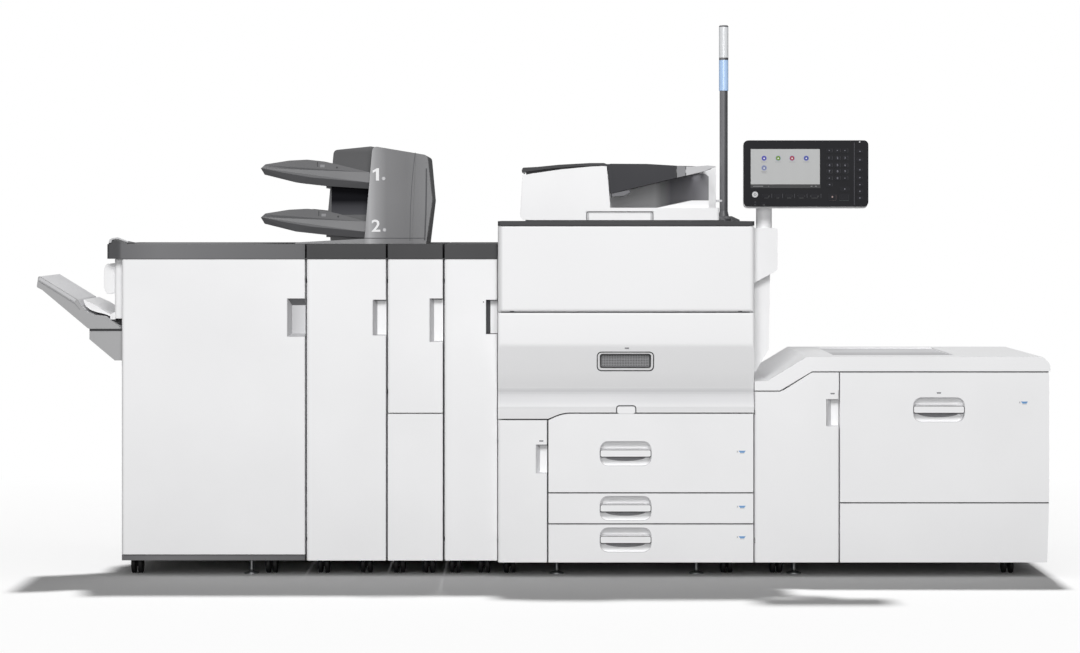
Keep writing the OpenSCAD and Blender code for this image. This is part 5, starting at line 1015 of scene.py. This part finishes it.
# %% Drawer pockets and badges
BAR_HALF = 12.0
BADGE = 0.4
BAR_SHADOW_HALF = 64
BAR_SHADOW_DEEP = 13
ARC_STEPS = 16
BADGES_PX = (("drawer_1", "drawer_1_handle", (741.4, 452.0)),
             ("drawer_2", "drawer_2_handle", (741.4, 507.0)),
             ("drawer_3", "drawer_3_handle", (741.4, 537.5)),
             ("feeder_drawer", "feeder_handle", (1023.7, 402.8)))
badge_blue = moulded_plastic("badge_blue_ink", "#6f9fd0", "#6796c6")
for body, node, place_px in BADGES_PX:
    low, high = span(node)
    x, z = (low[0] + high[0]) / 2, (low[2] + high[2]) / 2
    front, floor_y = low[1], high[1]
    turns = [math.pi * step / ARC_STEPS for step in range(ARC_STEPS + 1)]
    arc = [(x + BAR_SHADOW_HALF * math.cos(turn), z - BAR_HALF - BAR_SHADOW_DEEP * math.sin(turn)) for turn in turns]
    # A grey lens under each bar is a painted shadow, where the bar shades the pocket below it.
    slabs(body + "_bar_shadow", mid_trim, body, "grey_plastic",
          (arc + [(x - BAR_SHADOW_HALF, z - 2), (x + BAR_SHADOW_HALF, z - 2)], floor_y - 1.2, floor_y + 0.4))
    # Pale grey rings round the bar on the pocket floor and on the pocket's lip are painted shade.
    edge = bmesh.new()
    rim_round(edge, x, z, ((80.8, BAR_HALF + 2.6, 8.0), (79.0, BAR_HALF, 6.0)), floor_y - 1.0, floor_y + 0.4)
    rim_round(edge, x, z, ((81, 39, 26.0), (79.6, 37.6, 24.6)), front + 0.4, front + 2.4)
    put(body + "_pocket_edge_shade", edge, pale_trim, body)
    # The dark ring round the bar is painted shade in the gap about it.
    edge = bmesh.new()
    band(edge, rounded(x - 80.6, z - BAR_HALF + 0.1, x + 80.6, z + BAR_HALF - 0.1, 5.9),
         rounded(x - 78.2, z - BAR_HALF + 2.5, x + 78.2, z + BAR_HALF - 1.6, 4.4), front - 0.4, front + 0.8)
    put(body + "_bar_edge_shade", edge, graphite_ink, body)
    x, z = at(*place_px, front)
    slabs(body + "_level_badge", badge_blue, body, "blue_lamp",
          ([(x - 9, z + 4.0), (x + 13.4, z + 4.0), (x + 8.6, z - 2.6), (x - 3.6, z - 2.6)],
           front - BADGE, front + BADGE))
    slabs(body + "_badge_foot", pale_trim, body, "light_grey_plastic",
          (oblong(x - 14.4, z - 1.6, x - 10.2, z + 4.0), front - BADGE, front + BADGE),
          (oblong(x - 4, z - 5.2, x + 9, z - 3.6), front - BADGE, front + BADGE))
print("handles dressed:", len(BADGES_PX))

# %% [markdown]
# ## Front door
# The front door leans back below its crease, so what lies on it leans too. The grip sits in a white
# bezel between two dark lines and carries a fine mesh, and a latch tab shows at the foot of the door.

# %% Grip bezel on the leaning face
CREASE_Z = 724.0
LEAN = 38.0 / 148.0
DOOR = span("front_door")[0][1]


def door_slope(z):
    """How far the leaning face lies behind the door's front at a height, in mm."""
    return max(0.0, (CREASE_Z - z) * LEAN)


bezel = bmesh.new()
band(bezel, rounded(170.6, 641.6, 349.4, 703.4, 14.4), rounded(173.6, 644.6, 346.4, 700.4, 12.0),
     DOOR - 0.7, DOOR + 1.2, lean=door_slope)
put("grip_bezel_line", bezel, black_trim, "front_door")
bezel = bmesh.new()
band(bezel, rounded(173.8, 644.8, 346.2, 700.2, 11.8), rounded(180.0, 651.0, 340.0, 696.8, 6.6),
     DOOR - 0.6, DOOR + 1.2, lean=door_slope)
put("grip_bezel", bezel, white_ink, "front_door")
print("the face leans", round(math.degrees(math.atan(LEAN)), 1), "degrees")

# %% Rim and mesh of the grip
GRIP = span("front_door_grip")[0][1]
MESH_LEFT, MESH_FOOT, MESH_RIGHT, MESH_HEAD = 186.5, 656.6, 333.5, 693.2
ROWS = 8
ROW_PITCH = 5.0
COLUMNS = 30
COLUMN_PITCH = 5.018
rim = bmesh.new()
band(rim, rounded(181.4, 652.4, 338.6, 695.6, 5.0), rounded(183.6, 654.6, 336.4, 693.4, 3.4),
     GRIP - 1.0, GRIP + 0.8)
put("grip_rim", rim, black_trim, "front_door_grip")
ribs = bmesh.new()
for step in range(ROWS):
    z = MESH_FOOT + ROW_PITCH * step
    prism(ribs, oblong(MESH_LEFT, z, MESH_RIGHT, z + 1.6), GRIP - 1.0, GRIP + 0.8)
for step in range(COLUMNS):
    x = MESH_LEFT + COLUMN_PITCH * step
    prism(ribs, oblong(x, MESH_FOOT, x + 1.5, MESH_HEAD), GRIP - 1.1, GRIP + 0.7)
put("grip_mesh", ribs, grey_ink, "front_door_grip")
print("ribs of the mesh:", ROWS + COLUMNS)

# %% Latch tab and open marks
slabs("latch_tab_edge", graphite_ink, "front_door", "grey_plastic",
      (stroke([(232.6, 508.5), (232.6, 525.0), (234.6, 531.0), (240.0, 533.4), (285.4, 533.4),
               (290.8, 531.0), (292.8, 525.0), (292.8, 508.5)], 3.4), -415.6, -413.6))
slabs("latch_tab", finishes["white_cover"], "front_door", "white_cover",
      (rounded(236.0, 508.5, 289.4, 529.5, 5.0), -415.4, -414.0), soft_edge=0.3)
MARKS_PX = (("waste_door", (541.3, 441.0), -415, 7.0), ("feeder_door", (832.6, 393.6), -415, 7.0),
            ("feeder_drawer", (938.9, 392.9), -415, 7.2), ("relay_door", (483.5, 302.0), -390, 2.0),
            ("front_door", (626.9, 348.2), -437.6, 7.2))
for body, place_px, front, half in MARKS_PX:
    x, z = at(*place_px, front)
    foot = half * 0.8
    slabs(body + "_open_mark", mid_trim, body, "grey_plastic",
          ([(x - half, z + 2.2), (x + half, z + 2.2), (x + foot, z - 2.2), (x - foot, z - 2.2)],
           front - 0.5, front + 1.2))
print("open marks:", len(MARKS_PX))

# %% [markdown]
# ## Finisher and paper feeder
# The paper feeder has a mat in its top pocket and a head over its left door. The finisher has a guard
# shell and a height lever at its left end, and a rim on the output tray. They are flat or nearly flat
# mouldings, so each is one slab, and only those with a thick edge are rounded.

# %% Carriage gap, pocket mat and door head
# A thin black strip paints the shade inside the carriage gap.
slabs("carriage_gap_painted_shade", black_trim, "shift_tray", "dark_cap",
      (oblong(-1422.0, 764.5, -1318.5, 771.6), -359.0, -357.6))
feeder_high = span("feeder_top")[1]
slabs("top_pocket_mat",
      moulded_plastic("pocket_mat_abs_moulded", "#c0c0c2", "#b9b9bb",
                      drift=("Y", [(-393, "#aeaeb0"), (-60, "#c2c2c4"), (0, "#d6d6d8"), (283, "#dadadc")])),
      "line_frame", "light_grey_plastic",
      (oblong(923.5, -393.0, 1303.5, 283.0), feeder_high[2] - 5.2, feeder_high[2] - 4.0), axis="Z")
slabs("feeder_door_head", finishes["white_cover"], "feeder_door", "white_cover",
      ([(754.5, 581.0), (927.0, 581.0), (927.0, 637.0), (845.0, 637.0), (839.5, 635.4)], -415.0, -386.0))
print("top pocket mat at z", round(feeder_high[2] - 4.0, 1), "mm")

# %% Finisher details
slabs("side_guard_shell", finishes["white_cover"], "line_frame", "white_cover",
      ([(-1350.0, 884.0), (-1362.0, 880.6), (-1371.0, 884.0), (-1377.4, 893.0), (-1379.0, 903.0),
        (-1379.0, 958.0), (-1376.6, 968.0), (-1370.0, 973.6), (-1361.0, 975.0), (-1350.0, 975.0)],
       -346.0, -341.5), soft_edge=1.2)
slabs("output_tray_rim", pale_trim, "shift_tray", "light_grey_plastic",
      (stroke([(-1580.0, 930.0), (-1466.0, 859.6)], 9.0), -363.2, -361.0), soft_edge=0.6)
slabs("output_tray_groove", mid_trim, "shift_tray", "grey_plastic",
      (stroke([(-1582.0, 921.6), (-1468.0, 851.0), (-1452.0, 832.0)], 1.8), -362.8, -361.6))
slabs("height_lever", pale_trim, "line_frame", "light_grey_plastic",
      ([(-1357.0, 1042.0), (-1350.0, 1042.0), (-1347.0, 1051.0), (-1333.0, 1055.0), (-1296.0, 1043.0),
        (-1296.0, 1047.0), (-1330.0, 1059.6), (-1349.0, 1056.6), (-1357.0, 1048.0)],
       -391.2, -384.0), soft_edge=0.8)
print("finisher plates: 4")

# %% Shadow gaps
# Shade falls inside each seam between two covers, so a thin black strip a little behind each seam paints
# that shade.
DRAWER_SEAMS = ((21.0, 260.0, 659.0, 262.4, -398.0), (21.0, 163.0, 659.0, 165.4, -398.0),
                (932.0, 638.0, 1583.0, 640.4, -402.0), (932.0, 228.6, 1583.0, 231.2, -402.0))
slabs("cap_gap_painted_shade", black_trim, "line_frame", "dark_cap",
      (oblong(-1316.0, 990.8, -141.0, 994.6), -389.6, -386.0))
slabs("drawer_gap_painted_shade", black_trim, "line_frame", "dark_cap",
      *((oblong(left, low, right, high), -413.6, back) for left, low, right, high, back in DRAWER_SEAMS))
print("shadow gaps:", 1 + len(DRAWER_SEAMS))

# %% [markdown]
# ## Back of the line
# The backs are plain painted sheets that are screwed on, and the wide ones have slots for the fans. A
# view from behind needs them. Each sheet gets six screws with a cross slot, and the two wide sheets get
# rows of dark slots, all thin enough to stay in the CAD box.

# %% Screws behind
SCREW_INSET = 14
SCREW_FOOT = 80
MODULE_BACK = span("finisher_cabinet")[1][1]
FEEDER_BACK = span("feeder_cabinet")[1][1]
BACKS = ((-1306, -752, MODULE_BACK, 960), (-724, -498, MODULE_BACK, 960), (-470, -320, MODULE_BACK, 960),
         (-292, -152, MODULE_BACK, 960), (690, 1556, FEEDER_BACK, 610))
heads = bmesh.new()
screws = 0
for left, right, back, top in BACKS:
    for z in (SCREW_FOOT, (SCREW_FOOT + top) / 2, top):
        for x in (left + SCREW_INSET, right - SCREW_INSET):
            prism(heads, disc(x, z, 5.0, 14), back - 0.4, back + 1.8)
            for across, up in ((3.4, 0.7), (0.7, 3.4)):
                prism(heads, oblong(x - across, z - up, x + across, z + up), back + 1.6, back + 2.2)
            screws += 1
put("back_screws", heads, finishes["foot_steel"], "line_frame")
print("screws:", screws)

# %% Slots behind
WIDE_BACK = 500
SLOT_ROWS = 9
SLOT_PITCH = 13
SLOT_DROP = 170
SLOT_APART = 120
SLOT_HALF = 95
vents = [(middle, top - SLOT_DROP + SLOT_PITCH * row, back)
         for left, right, back, top in BACKS if right - left > WIDE_BACK
         for row in range(SLOT_ROWS)
         for middle in ((left + right) / 2 - SLOT_APART, (left + right) / 2 + SLOT_APART)]
slabs("back_slots", black_trim, "line_frame", "dark_cap",
      *((rounded(x - SLOT_HALF, z - 2.6, x + SLOT_HALF, z + 2.6, 2.4, 2), back - 0.4, back + 0.8)
        for x, z, back in vents))
print("slots:", len(vents))
